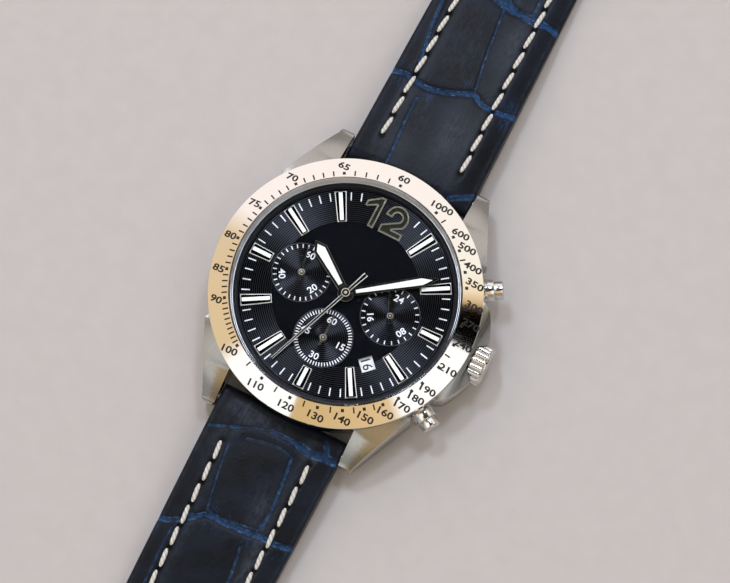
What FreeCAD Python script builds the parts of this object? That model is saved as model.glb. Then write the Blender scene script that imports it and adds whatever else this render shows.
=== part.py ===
import FreeCAD, Part
import math
import os

# A quartz chronograph wristwatch with a steel case on a two-part leather strap,
# lying open and flat, face up.  Sizes are in millimetres.  The origin is on the
# hands' axis at the case back's outer face; +Z leaves the dial, +Y points to
# 12 o'clock and +X to 3 o'clock.

# ---- running and seating clearances ----
FIT = 0.03              # between pieces that are pressed or dropped together
RUNNING = 0.05          # radial, between a shaft and its hole
LOOSE = 0.15            # between pieces that slide past each other

# ---- case back and case middle ----
CASE_RADIUS = 19.8
CASE_TAPER = 1.3        # how much narrower the case is at its foot
CASE_TAPER_HEIGHT = 3.0
CASE_WALL = 2.94        # from the case's bore to its flank
BACK_FLANGE = 1.3       # thickness of the back's outer flange
BACK_PLATE = 1.4        # thickness of the back inside its skirt
BACK_SKIRT = 1.0        # height of the threaded skirt above the flange
BACK_RIM = 1.04         # how far the flange passes the bore
BACK_SLOPE = 3.4        # width of the flange's sloping border
BACK_NOTCHES = 6
BACK_NOTCH_WIDTH = 2.4
BACK_NOTCH_DEPTH = 1.0
SKIRT_WALL = 1.5

# ---- dial, rehaut, crystal and bezel ----
RING_HEIGHT = 4.9       # from the back's skirt up to the dial's seat
DIAL_THICKNESS = 0.4
REHAUT_WIDTH = 1.21     # of the sloping flange round the dial
REHAUT_HEIGHT = 1.4
REHAUT_LIP = 0.12
BEZEL_SEAT_RISE = 0.4   # the bezel's seat above the dial
BEZEL_OVERHANG = 0.2    # how far the bezel passes the case's flank
BEZEL_RIM = 1.1
BEZEL_RISE = 1.3
NECK_WALL = 1.04
CRYSTAL_THICKNESS = 1.7
CRYSTAL_BEVEL = 0.28

# ---- lugs, spring bars and crown guards ----
LUG_GAP = 20.2
LUG_BAR_OFFSET = 1.2    # from the case's flank out to the spring bar
LUG_OVERHANG = 1.6      # from the spring bar to the lug's tip
LUG_TIP_WIDTH = 2.15
LUG_TIP_TOP = 4.8
LUG_ROOT_ANGLE = 53.9   # where a lug's outer edge leaves the case, from 12 o'clock
SPRING_BAR_Z = 3.3
SPRING_BAR_RADIUS = 0.9
PIVOT_RADIUS = 0.4
PIVOT_LENGTH = 1.1
GUARD_RISE = 1.8        # how far the crown guards pass the case's flank
GUARD_HALF = 8.0

# ---- crown, stem and pushers ----
CROWN_Z = 4.8
CROWN_RADIUS = 3.05
CROWN_STANDOFF = 0.7    # from the case's flank to the crown
CROWN_LENGTH = 2.45
CROWN_FLUTES = 16
CROWN_FLUTE_DEPTH = 0.34
CROWN_CAP = 0.35
CROWN_WALL = 0.6
CROWN_PULL = 0.9
TUBE_WALL = 0.7
TUBE_REACH = 1.5        # of the tube inside the crown
STEM_RADIUS = 0.6
STEM_INSET = 3.3        # from the case's bore to the stem's groove
STEM_TAIL = 1.6         # of the stem past its groove
STEM_GROOVE = 0.5
LEVER_HALF = 0.9
LEVER_REACH = 1.5
PUSHER_ANGLE = 30.0
PUSHER_Z = 4.9
PUSHER_RADIUS = 1.4
PUSHER_HEAD = 1.74
PUSHER_TRAVEL = 0.9
PUSHER_STEM = 0.7
PUSHER_STOP = 0.45      # how far the stem's inner collar passes the stem
PUSHER_STOP_WIDTH = 0.3
COLLAR_WALL = 0.3
COLLAR_FLOOR = 0.4      # the collar's floor, out from the case's flank
COLLAR_HEIGHT = 1.3
SHANK_WALL = 0.45

# ---- movement ----
PLATE_INSET = 1.66      # from the case's bore to the plate, filled by the movement ring
PLATE_HEIGHT = 1.8
RECESS_ROOM = 0.57      # between the day wheel and the recess's wall
RECESS_FLOOR = 0.5      # plate left under the motion work
POST_RISE = (0.85, 1.0)  # of the posts under the minute wheel and the day idler
BRIDGE_INSET = 1.2      # from the plate's edge
BRIDGE_DROP = 0.9       # gap between the plate and the bridge
BRIDGE_THICKNESS = 0.8
PILLAR_RADIUS = 0.7
PILLAR_INSET = 1.5      # from the bridge's edge
PILLAR_ANGLES = (55, 110, 250, 305)
BATTERY_INSET = 0.45    # from the bridge's edge
BATTERY_CLEAR = 4.05    # from the hands' axis
BATTERY_HEIGHT = 2.7
BATTERY_STEP = (0.5, 0.2)  # width and height of the step round the cell's cap
CLAMP_THICKNESS = 0.2
CLAMP_WIDTH = 2.4
CLAMP_FOOT = 1.3        # how far the clamp reaches past the cell
COIL_RADIUS = 0.85
COIL_LENGTH = 5.2
CORE_LENGTH = 7.2
CORE_WIDTH = 1.0
CORE_THICKNESS = 0.4
STATOR_CLEAR = 0.8      # of the stators past the small dials' circle
STATOR_THICKNESS = 0.3
STATOR_LEG = 1.0        # width of the stator over each end of its core
MOTOR_INSET = 3.4       # from the bridge's edge to the core
MOTOR_ANGLES = (132.0, 223.0)
SUBDIAL_CLEAR = 2.85    # from the hands' axis to the small dials
SUBDIAL_GAP = 0.55      # between the small dials and the short markers
SUBDIAL_DEPTH = 0.1
MOTION_MODULE = 0.14
MINUTE_WHEEL_ANGLE = 230.0
WHEEL_THICKNESS = 0.2
ARBOR_RADIUS = 0.27
CANNON_WALL = 0.15
PIVOT_DEPTH = 0.3
POST_RADIUS = 0.25
SUB_ARBOR_RADIUS = 0.2
DATE_INSET = 3.1        # from the plate's edge to the date ring
DATE_RING_WIDTH = 2.5
DATE_RING_THICKNESS = 0.2
DATE_TEETH = 31
DATE_TOOTH = 0.4
DATE_SETBACK = 1.36     # from the date ring's edge to the window's middle
DATE_ANGLE = 136.4
DATE_WIDE = 2.05
DATE_TALL = 2.1
FOOT_RADIUS = 0.35      # of the dial's feet
FOOT_LENGTH = 1.0
FOOT_INSET = 1.4        # from the plate's edge
FOOT_ROOM = 0.04
FOOT_ANGLES = (20, 200)

# ---- hands: angles are clockwise from 12 o'clock ----
HOUR_ANGLE = 304.0
MINUTE_ANGLE = 54.6
SECONDS_ANGLE = 201.0
SMALL_SECONDS_ANGLE = 0.0
COUNTER_ANGLE = -12.5
DAY_ANGLE = -28.0
HAND_THICKNESS = 0.2
HAND_GAP = 0.15         # between one hand and the next above it
SUB_HAND_THICKNESS = 0.12
SUB_HAND_LIFT = 0.1     # above the main dial surface
MINUTE_SETBACK = 1.95   # from the rehaut's foot to the minute hand's tip
HOUR_SHORTER = 4.6      # how much shorter the hour hand is
SECONDS_SETBACK = 1.3   # from the rehaut's foot to the long hand's tip
SUB_SETBACKS = (0.65, 0.45, 0.85)  # seconds, minutes and day hands within their dials
HUB_RADII = (1.2, 1.15, 0.62, 0.55)  # hour, minute, long and small hands

# ---- applied markers ----
MARKER_HEIGHT = 0.35
MARKER_SETBACK = 0.45   # from the rehaut's foot
MARKER_LENGTH = 4.35
SHORT_MARKER_LENGTH = 3.1
MARKER_WIDTH = (1.11, 1.56)
MARKER_EDGE = 0.1       # height of the marker's upright side
MARKER_TOP = 0.5        # share of the width left flat on top
LUME_WIDTH = 0.55
LUME_MARGIN = 0.12      # of the marker left at each end of its lume
LUME_DEPTH = 0.12
NUMERAL_STROKE = 1.0
NUMERAL_EDGE = 0.2      # width of the raised edge round each figure
NUMERAL_SINK = 0.1
NUMERAL_SETBACK = 0.51  # from the rehaut's foot
NUMERAL_HEIGHT = 4.71

# ---- strap ----
STRAP_WIDTH = 19.9
STRAP_END_WIDTH = 18.0
LUG_LOOP_RADIUS = 2.2
STRAP_THICKNESS = 3.0
LINING = 0.8
BUCKLE_HALF = 75.0      # spring bar to buckle bar
TAIL_HALF = 115.0       # spring bar to tip
TAIL_POINT = 12.0
TIP_NOSE = 1.2          # half the width of the tip's round end
KEEPER_LIFT = 1.0       # the strap rises over its keepers and buckle
RISE_AT = (36.0, 42.0)  # where that rise starts and ends, from the spring bar
HOLES = 7
HOLE_SETBACK = 10.0     # from the tail's shoulder to the last hole
HOLE_PITCH = 6.0
HOLE_RADIUS = 1.05
KEEPER_WALL = 0.85
KEEPER_WIDTH = 5.0
KEEPER_HALF = 9.6
KEEPER_ROOM = 2.8       # left over the strap for the tail
FIXED_KEEPER_SETBACK = 12.0
FREE_KEEPER_SETBACK = 20.0
BUCKLE_BAR_RADIUS = 0.8
BUCKLE_INSIDE = 18.7
BUCKLE_ARM = 1.85
BUCKLE_WINDOW = 8.4
BUCKLE_FRONT = 3.4
BUCKLE_THICKNESS = 3.2
PIVOT_INSET = 0.5       # from the frame's side to the bar's end
TONGUE_WIDTH = 2.4
TONGUE_THICKNESS = 0.9
TONGUE_WALL = 0.65      # of the tongue's loop round the bar
TONGUE_BEND = 2.0       # from the bar to the end of the tongue's rise
TONGUE_DIP = 1.4        # from the tongue's bend back to the buckle's front
TONGUE_RISE = 0.25      # of the tongue's middle over its seat
SLOT_WIDTH = 3.4
SLOT_LENGTH = 4.5

# ---- levels, from the floor up ----
SKIRT_TOP = BACK_FLANGE + BACK_SKIRT
DIAL_SEAT = SKIRT_TOP + RING_HEIGHT
DIAL_TOP = DIAL_SEAT + DIAL_THICKNESS
BEZEL_SEAT = DIAL_TOP + BEZEL_SEAT_RISE
CRYSTAL_SEAT = DIAL_TOP + REHAUT_HEIGHT
BEZEL_EDGE = BEZEL_SEAT + BEZEL_RIM
BEZEL_TOP = BEZEL_EDGE + BEZEL_RISE
CRYSTAL_TOP = CRYSTAL_SEAT + CRYSTAL_THICKNESS
PLATE_BOTTOM = DIAL_SEAT - PLATE_HEIGHT
MOTION_FLOOR = PLATE_BOTTOM + RECESS_FLOOR
BRIDGE_TOP = PLATE_BOTTOM - BRIDGE_DROP
BRIDGE_BOTTOM = BRIDGE_TOP - BRIDGE_THICKNESS
DATE_SEAT = DIAL_SEAT - DATE_RING_THICKNESS - 2 * RUNNING
SUB_HAND_Z = DIAL_TOP + SUB_HAND_LIFT
HOUR_HAND_Z = SUB_HAND_Z + SUB_HAND_THICKNESS + HAND_GAP
MINUTE_HAND_Z = HOUR_HAND_Z + HAND_THICKNESS + HAND_GAP
SECONDS_HAND_Z = MINUTE_HAND_Z + HAND_THICKNESS + HAND_GAP
SECONDS_HUB_TOP = SECONDS_HAND_Z + HAND_THICKNESS

# ---- widths that follow from the case, from the flank inwards ----
CASE_BORE = CASE_RADIUS - CASE_WALL
BEZEL_RADIUS = CASE_RADIUS + BEZEL_OVERHANG
DIAL_OPENING = CASE_BORE - REHAUT_WIDTH
MARKER_OUTER = DIAL_OPENING - MARKER_SETBACK
MARKER_INNER = MARKER_OUTER - MARKER_LENGTH
SHORT_MARKER_INNER = MARKER_OUTER - SHORT_MARKER_LENGTH
NUMERAL_TOP = DIAL_OPENING - NUMERAL_SETBACK
NUMERAL_FOOT = NUMERAL_TOP - NUMERAL_HEIGHT
SUBDIAL_REACH = SHORT_MARKER_INNER - SUBDIAL_GAP
SUBDIAL_DISTANCE = (SUBDIAL_REACH + SUBDIAL_CLEAR) / 2
SUBDIAL_RADIUS = (SUBDIAL_REACH - SUBDIAL_CLEAR) / 2
DAY_MODULE = SUBDIAL_DISTANCE / 36
PLATE_RADIUS = CASE_BORE - PLATE_INSET
RECESS_RADIUS = SUBDIAL_DISTANCE + 10.9 * DAY_MODULE + RECESS_ROOM
BRIDGE_RADIUS = PLATE_RADIUS - BRIDGE_INSET
PILLAR_CIRCLE = BRIDGE_RADIUS - PILLAR_INSET
BATTERY_REACH = BRIDGE_RADIUS - BATTERY_INSET
BATTERY_DISTANCE = (BATTERY_REACH + BATTERY_CLEAR) / 2
BATTERY_RADIUS = (BATTERY_REACH - BATTERY_CLEAR) / 2
MOTOR_DISTANCE = BRIDGE_RADIUS - MOTOR_INSET
STATOR_INNER = SUBDIAL_DISTANCE + STATOR_CLEAR
DATE_RADIUS = PLATE_RADIUS - DATE_INSET
DATE_AT = DATE_RADIUS - DATE_SETBACK
FOOT_CIRCLE = PLATE_RADIUS - FOOT_INSET
MINUTE_TIP = DIAL_OPENING - MINUTE_SETBACK
HOUR_TIP = MINUTE_TIP - HOUR_SHORTER
SECONDS_TIP = DIAL_OPENING - SECONDS_SETBACK

# ---- places that follow from the case ----
SPRING_BAR_Y = CASE_RADIUS + LUG_BAR_OFFSET
LUG_REACH = SPRING_BAR_Y + LUG_OVERHANG
CHANNEL_RADIUS = LUG_LOOP_RADIUS + 3 * LOOSE
GUARD_REACH = CASE_RADIUS + GUARD_RISE
CROWN_START = CASE_RADIUS + CROWN_STANDOFF
TUBE_BORE = STEM_RADIUS + RUNNING
TUBE_RADIUS = TUBE_BORE + TUBE_WALL
COLLAR_REACH = CASE_RADIUS + COLLAR_FLOOR + COLLAR_HEIGHT
COLLAR_RADIUS = PUSHER_RADIUS + RUNNING + COLLAR_WALL
SHANK_RADIUS = PUSHER_STEM + RUNNING + SHANK_WALL
PUSHER_START = CASE_RADIUS + COLLAR_FLOOR + PUSHER_TRAVEL + 2 * RUNNING
STOP_X = CASE_BORE - 2 * LOOSE - PUSHER_STOP_WIDTH
BUCKLE_BAR_Y = SPRING_BAR_Y + BUCKLE_HALF
BUCKLE_BAR_Z = KEEPER_LIFT + STRAP_THICKNESS / 2
SEAT_TOP = KEEPER_LIFT + STRAP_THICKNESS
TIP_Y = SPRING_BAR_Y + TAIL_HALF
RISE_START = SPRING_BAR_Y + RISE_AT[0]
RISE_END = SPRING_BAR_Y + RISE_AT[1]
LINING_START = SPRING_BAR_Y + 3
LINING_NOSE = [(SPRING_BAR_Y + 8, LINING), (LINING_START, LINING + 0.6875)]


# ---------------------------------------------------------------- helpers

def point(x, y, z=0.0):
    return FreeCAD.Vector(x, y, z)


def upright(shape):
    """The shape with its faces pointing outwards."""
    if shape.Volume < 0:
        shape.reverse()
    return shape


def outline(steps, place):
    """A face inside a closed outline; a pair of points is an arc by its middle and end."""
    first = last = place(*steps[0])
    edges = []
    for step in steps[1:]:
        if isinstance(step[0], tuple):
            middle, end = place(*step[0]), place(*step[1])
            edges.append(Part.Arc(last, middle, end).toShape())
        else:
            end = place(*step)
            edges.append(Part.makeLine(last, end))
        last = end
    if not last.isEqual(first, 1e-6):
        edges.append(Part.makeLine(last, first))
    return Part.Face(Part.Wire(edges))


def plan_prism(steps, low, high):
    """An outline in x and y, raised from one height to another."""
    face = outline(steps, lambda x, y: point(x, y, low))
    return upright(face.extrude(point(0, 0, high - low)))


def side_prism(steps, left, right):
    """An outline in y and z, extruded along x."""
    face = outline(steps, lambda y, z: point(left, y, z))
    return upright(face.extrude(point(right - left, 0, 0)))


def end_prism(steps, near, far):
    """An outline in x and z, extruded along y."""
    face = outline(steps, lambda x, z: point(x, near, z))
    return upright(face.extrude(point(0, far - near, 0)))


def turned(steps, at=(0.0, 0.0)):
    """A profile in radius and z, turned about a vertical axis."""
    face = outline(steps, lambda r, z: point(r, 0, z))
    solid = face.revolve(point(0, 0, 0), point(0, 0, 1), 360)
    solid.translate(point(*at))
    return upright(solid)


def disc(radius, low, high, at=(0.0, 0.0)):
    return Part.makeCylinder(radius, high - low, point(at[0], at[1], low))


def ring(inner, outer, low, high, at=(0.0, 0.0)):
    return disc(outer, low, high, at).cut(disc(inner, low, high, at))


def block(low, high):
    """A box between two corners."""
    size = [b - a for a, b in zip(low, high)]
    return Part.makeBox(*size, point(*low))


def rod(radius, start, end):
    """A cylinder between two points."""
    axis = point(*end) - point(*start)
    return Part.makeCylinder(radius, axis.Length, point(*start), axis)


def turn(shape, degrees, at=(0.0, 0.0)):
    """A copy turned about a vertical axis, anticlockwise from above."""
    copy = shape.copy()
    copy.rotate(point(*at), point(0, 0, 1), degrees)
    return copy


def mirror_x(shape):
    return shape.mirror(point(0, 0, 0), point(1, 0, 0))


def mirror_y(shape):
    return shape.mirror(point(0, 0, 0), point(0, 1, 0))


def around(shape, count, first=0.0):
    """Copies of a shape spaced evenly about the hands' axis."""
    return [turn(shape, first - 360.0 * i / count) for i in range(count)]


def clock(radius, degrees):
    """A place on the dial, by its distance and its angle clockwise from 12."""
    a = math.radians(degrees)
    return (radius * math.sin(a), radius * math.cos(a))


class Gear:
    """A spur wheel: teeth, module, place and the angle of one tooth's middle."""

    def __init__(self, teeth, module, at=(0.0, 0.0), tooth_at=0.0):
        self.teeth = teeth
        self.module = module
        self.at = at
        self.tooth_at = tooth_at

    def pitch_radius(self):
        return self.module * self.teeth / 2

    def meshing(self, teeth, at):
        """The wheel at another place whose gap holds this wheel's tooth."""
        towards = math.degrees(math.atan2(at[1] - self.at[1], at[0] - self.at[0]))
        share = (towards - self.tooth_at) * self.teeth / 360.0 % 1.0
        tooth_at = towards + 180.0 + (share + 0.5) * 360.0 / teeth
        return Gear(teeth, self.module, at, tooth_at)

    def solid(self, low, bore=0.0, thickness=WHEEL_THICKNESS):
        root = self.pitch_radius() - 1.2 * self.module
        tip = self.pitch_radius() + 0.9 * self.module
        pitch = 2 * math.pi / self.teeth
        shape = []
        for i in range(self.teeth):
            middle = math.radians(self.tooth_at) + i * pitch
            for radius, share in ((root, -0.3), (tip, -0.11), (tip, 0.11), (root, 0.3)):
                a = middle + share * pitch
                shape.append((self.at[0] + radius * math.cos(a), self.at[1] + radius * math.sin(a)))
        wheel = plan_prism(shape, low, low + thickness)
        if bore:
            wheel = wheel.cut(disc(bore, low, low + thickness, self.at))
        return wheel


# ---------------------------------------------------------------- case

def strap_channel():
    """The hollow between two lugs that the strap's end turns in."""
    half = LUG_GAP / 2
    return rod(CHANNEL_RADIUS, (-half, SPRING_BAR_Y, SPRING_BAR_Z), (half, SPRING_BAR_Y, SPRING_BAR_Z))


def lug():
    """The lug beside 12 o'clock on the crown's side."""
    inner = LUG_GAP / 2
    tip = inner + LUG_TIP_WIDTH
    root_x, root_y = clock(CASE_RADIUS + 0.85, LUG_ROOT_ANGLE)
    inside = root_y - 2
    plan = [(inner, inside),
            (inner, LUG_REACH - 0.25),
            (inner + 0.25, LUG_REACH),
            (tip - 0.7, LUG_REACH),
            ((tip - 0.15, LUG_REACH - 0.2), (tip, LUG_REACH - 0.8)),
            (root_x, root_y),
            (root_x - 1, inside)]
    middle = (root_y + LUG_REACH) / 2
    side = [(inside, BACK_FLANGE),
            (LUG_REACH - 1.9, BACK_FLANGE),
            ((LUG_REACH - 0.5, BACK_FLANGE + 0.6), (LUG_REACH, BACK_FLANGE + 2.0)),
            (LUG_REACH, LUG_TIP_TOP - 0.5),
            ((LUG_REACH - 0.12, LUG_TIP_TOP - 0.15), (LUG_REACH - 0.4, LUG_TIP_TOP)),
            ((middle, BEZEL_SEAT - 0.85), (root_y - 0.5, BEZEL_SEAT)), (inside, BEZEL_SEAT)]
    return plan_prism(plan, 0, BEZEL_SEAT).common(side_prism(side, inner, root_x + 1))


def crown_guards():
    """The shoulders that rise on both sides of the crown."""
    root = CASE_RADIUS - 1.4
    seat = CROWN_RADIUS + LOOSE
    plan = [(root - 2, -GUARD_HALF),
            (root, -GUARD_HALF),
            (root + 1.1, -GUARD_HALF + 0.5),
            ((GUARD_REACH - 0.85, -seat - 2.25), (GUARD_REACH, -seat - 0.2)),
            (GUARD_REACH, seat + 0.2),
            ((GUARD_REACH - 0.85, seat + 2.25), (root + 1.1, GUARD_HALF - 0.5)),
            (root, GUARD_HALF),
            (root - 2, GUARD_HALF)]
    low = BACK_FLANGE + 0.6
    rise = [(root - 2, low),
            (CASE_RADIUS - CASE_TAPER, low),
            (GUARD_REACH, CROWN_Z - 1.4),
            (GUARD_REACH, CROWN_Z + 1.5),
            ((GUARD_REACH - 1.1, BEZEL_SEAT - 0.6), (root, BEZEL_SEAT)),
            (root - 2, BEZEL_SEAT)]
    shoulders = plan_prism(plan, 0, BEZEL_SEAT).common(end_prism(rise, -GUARD_HALF, GUARD_HALF))
    return shoulders.cut(rod(seat, (CROWN_START - LOOSE, 0, CROWN_Z), (GUARD_REACH + 1, 0, CROWN_Z)))


def pusher_frame(shape, side):
    """A piece built along +X at the pusher's height, turned to its place."""
    return turn(shape, side * PUSHER_ANGLE)


def case_middle():
    foot = BACK_FLANGE
    flank = [(0, foot),
             (CASE_RADIUS - CASE_TAPER, foot),
             (CASE_RADIUS, foot + CASE_TAPER_HEIGHT),
             (CASE_RADIUS, BEZEL_SEAT),
             (0, BEZEL_SEAT)]
    body = turned(flank)
    for piece in (lug(), mirror_x(lug()), mirror_y(lug()), mirror_x(mirror_y(lug())), crown_guards()):
        body = body.fuse(piece)
    body = body.fuse(disc(CASE_BORE + NECK_WALL, BEZEL_SEAT, CRYSTAL_SEAT))
    for hollow in (strap_channel(), mirror_y(strap_channel()), disc(CASE_BORE, 0, CRYSTAL_SEAT)):
        body = body.cut(hollow)
    body = body.cut(rod(TUBE_RADIUS, (CASE_BORE - 1, 0, CROWN_Z), (CROWN_START, 0, CROWN_Z)))
    for side in (-1, 1):
        shank = rod(SHANK_RADIUS, (CASE_BORE - 1, 0, PUSHER_Z), (CASE_RADIUS + 1, 0, PUSHER_Z))
        collar = rod(COLLAR_RADIUS + FIT, (CASE_RADIUS - LOOSE, 0, PUSHER_Z), (COLLAR_REACH, 0, PUSHER_Z))
        body = body.cut(pusher_frame(shank, side)).cut(pusher_frame(collar, side))
    half, z = LUG_GAP / 2, SPRING_BAR_Z
    for y in (-SPRING_BAR_Y, SPRING_BAR_Y):
        for x in (-1, 1):
            body = body.cut(rod(PIVOT_RADIUS, (x * half, y, z), (x * (half + PIVOT_LENGTH), y, z)))
    return body.removeSplitter()


def bezel():
    neck = CASE_BORE + NECK_WALL + FIT
    return turned([(neck, BEZEL_SEAT),
                   (BEZEL_RADIUS, BEZEL_SEAT),
                   (BEZEL_RADIUS, BEZEL_EDGE),
                   (CASE_BORE, BEZEL_TOP),
                   (CASE_BORE, CRYSTAL_SEAT + FIT),
                   (neck, CRYSTAL_SEAT + FIT)])


def crystal():
    radius = CASE_BORE - FIT
    return turned([(0, CRYSTAL_SEAT), (radius, CRYSTAL_SEAT), (radius, CRYSTAL_TOP - CRYSTAL_BEVEL),
                   (radius - CRYSTAL_BEVEL, CRYSTAL_TOP), (0, CRYSTAL_TOP)])


def rehaut():
    """The sloping polished flange between the dial and the crystal."""
    outer = CASE_BORE - FIT
    return turned([(DIAL_OPENING, DIAL_TOP),
                   (outer, DIAL_TOP),
                   (outer, CRYSTAL_SEAT),
                   (DIAL_OPENING, DIAL_TOP + REHAUT_LIP)])


def case_back():
    inner = CASE_BORE - FIT - SKIRT_WALL
    outer = CASE_BORE - FIT
    rim = CASE_BORE + BACK_RIM
    back = turned([(0, 0),
                   (rim - BACK_SLOPE, 0),
                   (rim, BACK_FLANGE / 3),
                   (rim, BACK_FLANGE),
                   (outer, BACK_FLANGE),
                   (outer, SKIRT_TOP),
                   (inner, SKIRT_TOP),
                   (inner, BACK_PLATE),
                   (0, BACK_PLATE)])
    half = BACK_NOTCH_WIDTH / 2
    notch = block((rim - BACK_NOTCH_DEPTH, -half, 0), (rim + 1, half, BACK_FLANGE * 0.7))
    for cutter in around(notch, BACK_NOTCHES, 15.0):
        back = back.cut(cutter)
    return back


def spring_bars():
    """Two telescopic bars with shouldered ends."""
    y, z = SPRING_BAR_Y, SPRING_BAR_Z
    half = LUG_GAP / 2 - LOOSE
    reach = half + PIVOT_LENGTH
    pivots = rod(PIVOT_RADIUS, (-reach, y, z), (reach, y, z))
    bar = rod(SPRING_BAR_RADIUS, (-half, y, z), (half, y, z)).fuse(pivots)
    return Part.makeCompound([bar, mirror_y(bar)])


# ---------------------------------------------------------------- crown and pushers

def along_x(steps, z):
    """A profile in x and radius, turned about a line along x."""
    face = outline(steps, lambda x, r: point(x, 0, z + r))
    return upright(face.revolve(point(0, 0, z), point(1, 0, 0), 360))


def crown_tube():
    inner, outer = CASE_BORE + RUNNING, CROWN_START + TUBE_REACH
    low, high = TUBE_BORE, TUBE_RADIUS
    return along_x([(inner, low), (outer, low), (outer, high), (inner, high)], CROWN_Z)


def crown():
    """The fluted crown with its raised cap, hollow over its tube."""
    end = CROWN_START + CROWN_LENGTH
    band = end - CROWN_CAP
    flutes = []
    pitch = 2 * math.pi / CROWN_FLUTES
    for i in range(CROWN_FLUTES):
        for share, depth in ((-0.3, 0), (0.3, 0), (0.5, CROWN_FLUTE_DEPTH)):
            a = (i + share) * pitch
            radius = CROWN_RADIUS - depth
            flutes.append((radius * math.cos(a), CROWN_Z + radius * math.sin(a)))
    knob = side_prism(flutes, CROWN_START, band)
    top = CROWN_RADIUS - CROWN_FLUTE_DEPTH
    knob = knob.fuse(along_x([(band, 0), (band, top), (end, top - CROWN_CAP), (end, 0)], CROWN_Z))
    return knob.cut(rod(TUBE_RADIUS + 3 * LOOSE, (CROWN_START, 0, CROWN_Z), (end - CROWN_WALL, 0, CROWN_Z)))


def groove_x():
    """Where the setting lever holds the stem."""
    return CASE_BORE - STEM_INSET


def stem():
    """The winding stem with the groove that its setting lever holds."""
    start, end = groove_x() - STEM_TAIL, CROWN_START + CROWN_LENGTH - CROWN_WALL
    near, far = groove_x(), groove_x() + STEM_GROOVE
    neck = STEM_RADIUS / 2
    steps = [(start, 0), (end, 0), (end, STEM_RADIUS), (far, STEM_RADIUS), (far, neck)]
    return along_x(steps + [(near, neck), (near, STEM_RADIUS), (start, STEM_RADIUS)], CROWN_Z)


def setting_lever():
    """The forked lever that holds the stem by its groove."""
    left, right = groove_x() + RUNNING, groove_x() + STEM_GROOVE - RUNNING
    fork = block((left, -LEVER_HALF, CROWN_Z - LEVER_REACH), (right, LEVER_HALF, CROWN_Z - RUNNING))
    return fork.cut(rod(STEM_RADIUS / 2 + RUNNING, (left - 1, 0, CROWN_Z), (right + 1, 0, CROWN_Z)))


def pusher_tubes():
    """Two tubes pressed into the case, each with a collar round its pusher."""
    inner, bore, room = CASE_BORE + RUNNING, PUSHER_STEM + RUNNING, PUSHER_RADIUS + RUNNING
    floor = CASE_RADIUS + COLLAR_FLOOR
    back = CASE_RADIUS - LOOSE
    inside = [(inner, bore), (floor, bore), (floor, room), (COLLAR_REACH, room)]
    outside = [(COLLAR_REACH, COLLAR_RADIUS), (back, COLLAR_RADIUS)]
    shank = [(back, SHANK_RADIUS), (inner, SHANK_RADIUS)]
    tube = along_x(inside + outside + shank, PUSHER_Z)
    return Part.makeCompound([pusher_frame(tube, 1), pusher_frame(tube, -1)])


def pusher(side):
    """A button with its head, its stem and the collar that stops it inside the case."""
    reach = PUSHER_START + PUSHER_HEAD
    stop = STOP_X + PUSHER_STOP_WIDTH
    collar = PUSHER_STEM + PUSHER_STOP
    head = [(reach, PUSHER_RADIUS - 0.2), (reach - 0.2, PUSHER_RADIUS), (PUSHER_START, PUSHER_RADIUS)]
    shaft = [(PUSHER_START, PUSHER_STEM), (stop, PUSHER_STEM), (stop, collar), (STOP_X, collar)]
    body = along_x([(STOP_X, 0), (reach, 0)] + head + shaft, PUSHER_Z)
    return pusher_frame(body, side)


# ---------------------------------------------------------------- movement

def pusher_notches():
    """Room in the movement for both pushers' inner ends."""
    half = PUSHER_STEM + PUSHER_STOP + LOOSE
    inner = STOP_X - PUSHER_TRAVEL - 2 * LOOSE
    room = block((inner, -half, PUSHER_Z - half), (CASE_BORE + 1, half, PUSHER_Z + half))
    return pusher_frame(room, 1).fuse(pusher_frame(room, -1))


def stem_channel():
    """Room in the movement for the stem and its lever."""
    half = LEVER_HALF + LOOSE
    return block((groove_x() - STEM_TAIL - LOOSE, -half, CROWN_Z - LEVER_REACH - LOOSE),
                 (CASE_BORE + 1, half, CROWN_Z + STEM_RADIUS + LOOSE))


def motion_train():
    """The gears that carry the minute hand's turning to the hour and day hands."""
    cannon = Gear(10, MOTION_MODULE)
    minute_wheel = cannon.meshing(30, clock(MOTION_MODULE * 20, MINUTE_WHEEL_ANGLE))
    minute_pinion = Gear(8, MOTION_MODULE, minute_wheel.at)
    hour_wheel = minute_pinion.meshing(32, (0.0, 0.0))
    day_pinion = Gear(10, DAY_MODULE)
    near, far = DAY_MODULE * 17, DAY_MODULE * 22
    x = (near ** 2 - far ** 2 + SUBDIAL_DISTANCE ** 2) / (2 * SUBDIAL_DISTANCE)
    idler = day_pinion.meshing(24, (x, math.sqrt(near ** 2 - x ** 2)))
    day_wheel = idler.meshing(20, (SUBDIAL_DISTANCE, 0.0))
    return cannon, minute_wheel, minute_pinion, hour_wheel, day_pinion, idler, day_wheel


def counter_train():
    """The gears from the chronograph's seconds arbor to its minute counter."""
    half = SUBDIAL_DISTANCE / 2
    pinion = Gear(6, half / 27)
    counter_wheel = pinion.meshing(48, (-half, 0.0))
    counter_pinion = Gear(6, half / 25.5, (-half, 0.0))
    minutes_wheel = counter_pinion.meshing(45, (-SUBDIAL_DISTANCE, 0.0))
    return pinion, counter_wheel, counter_pinion, minutes_wheel


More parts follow.
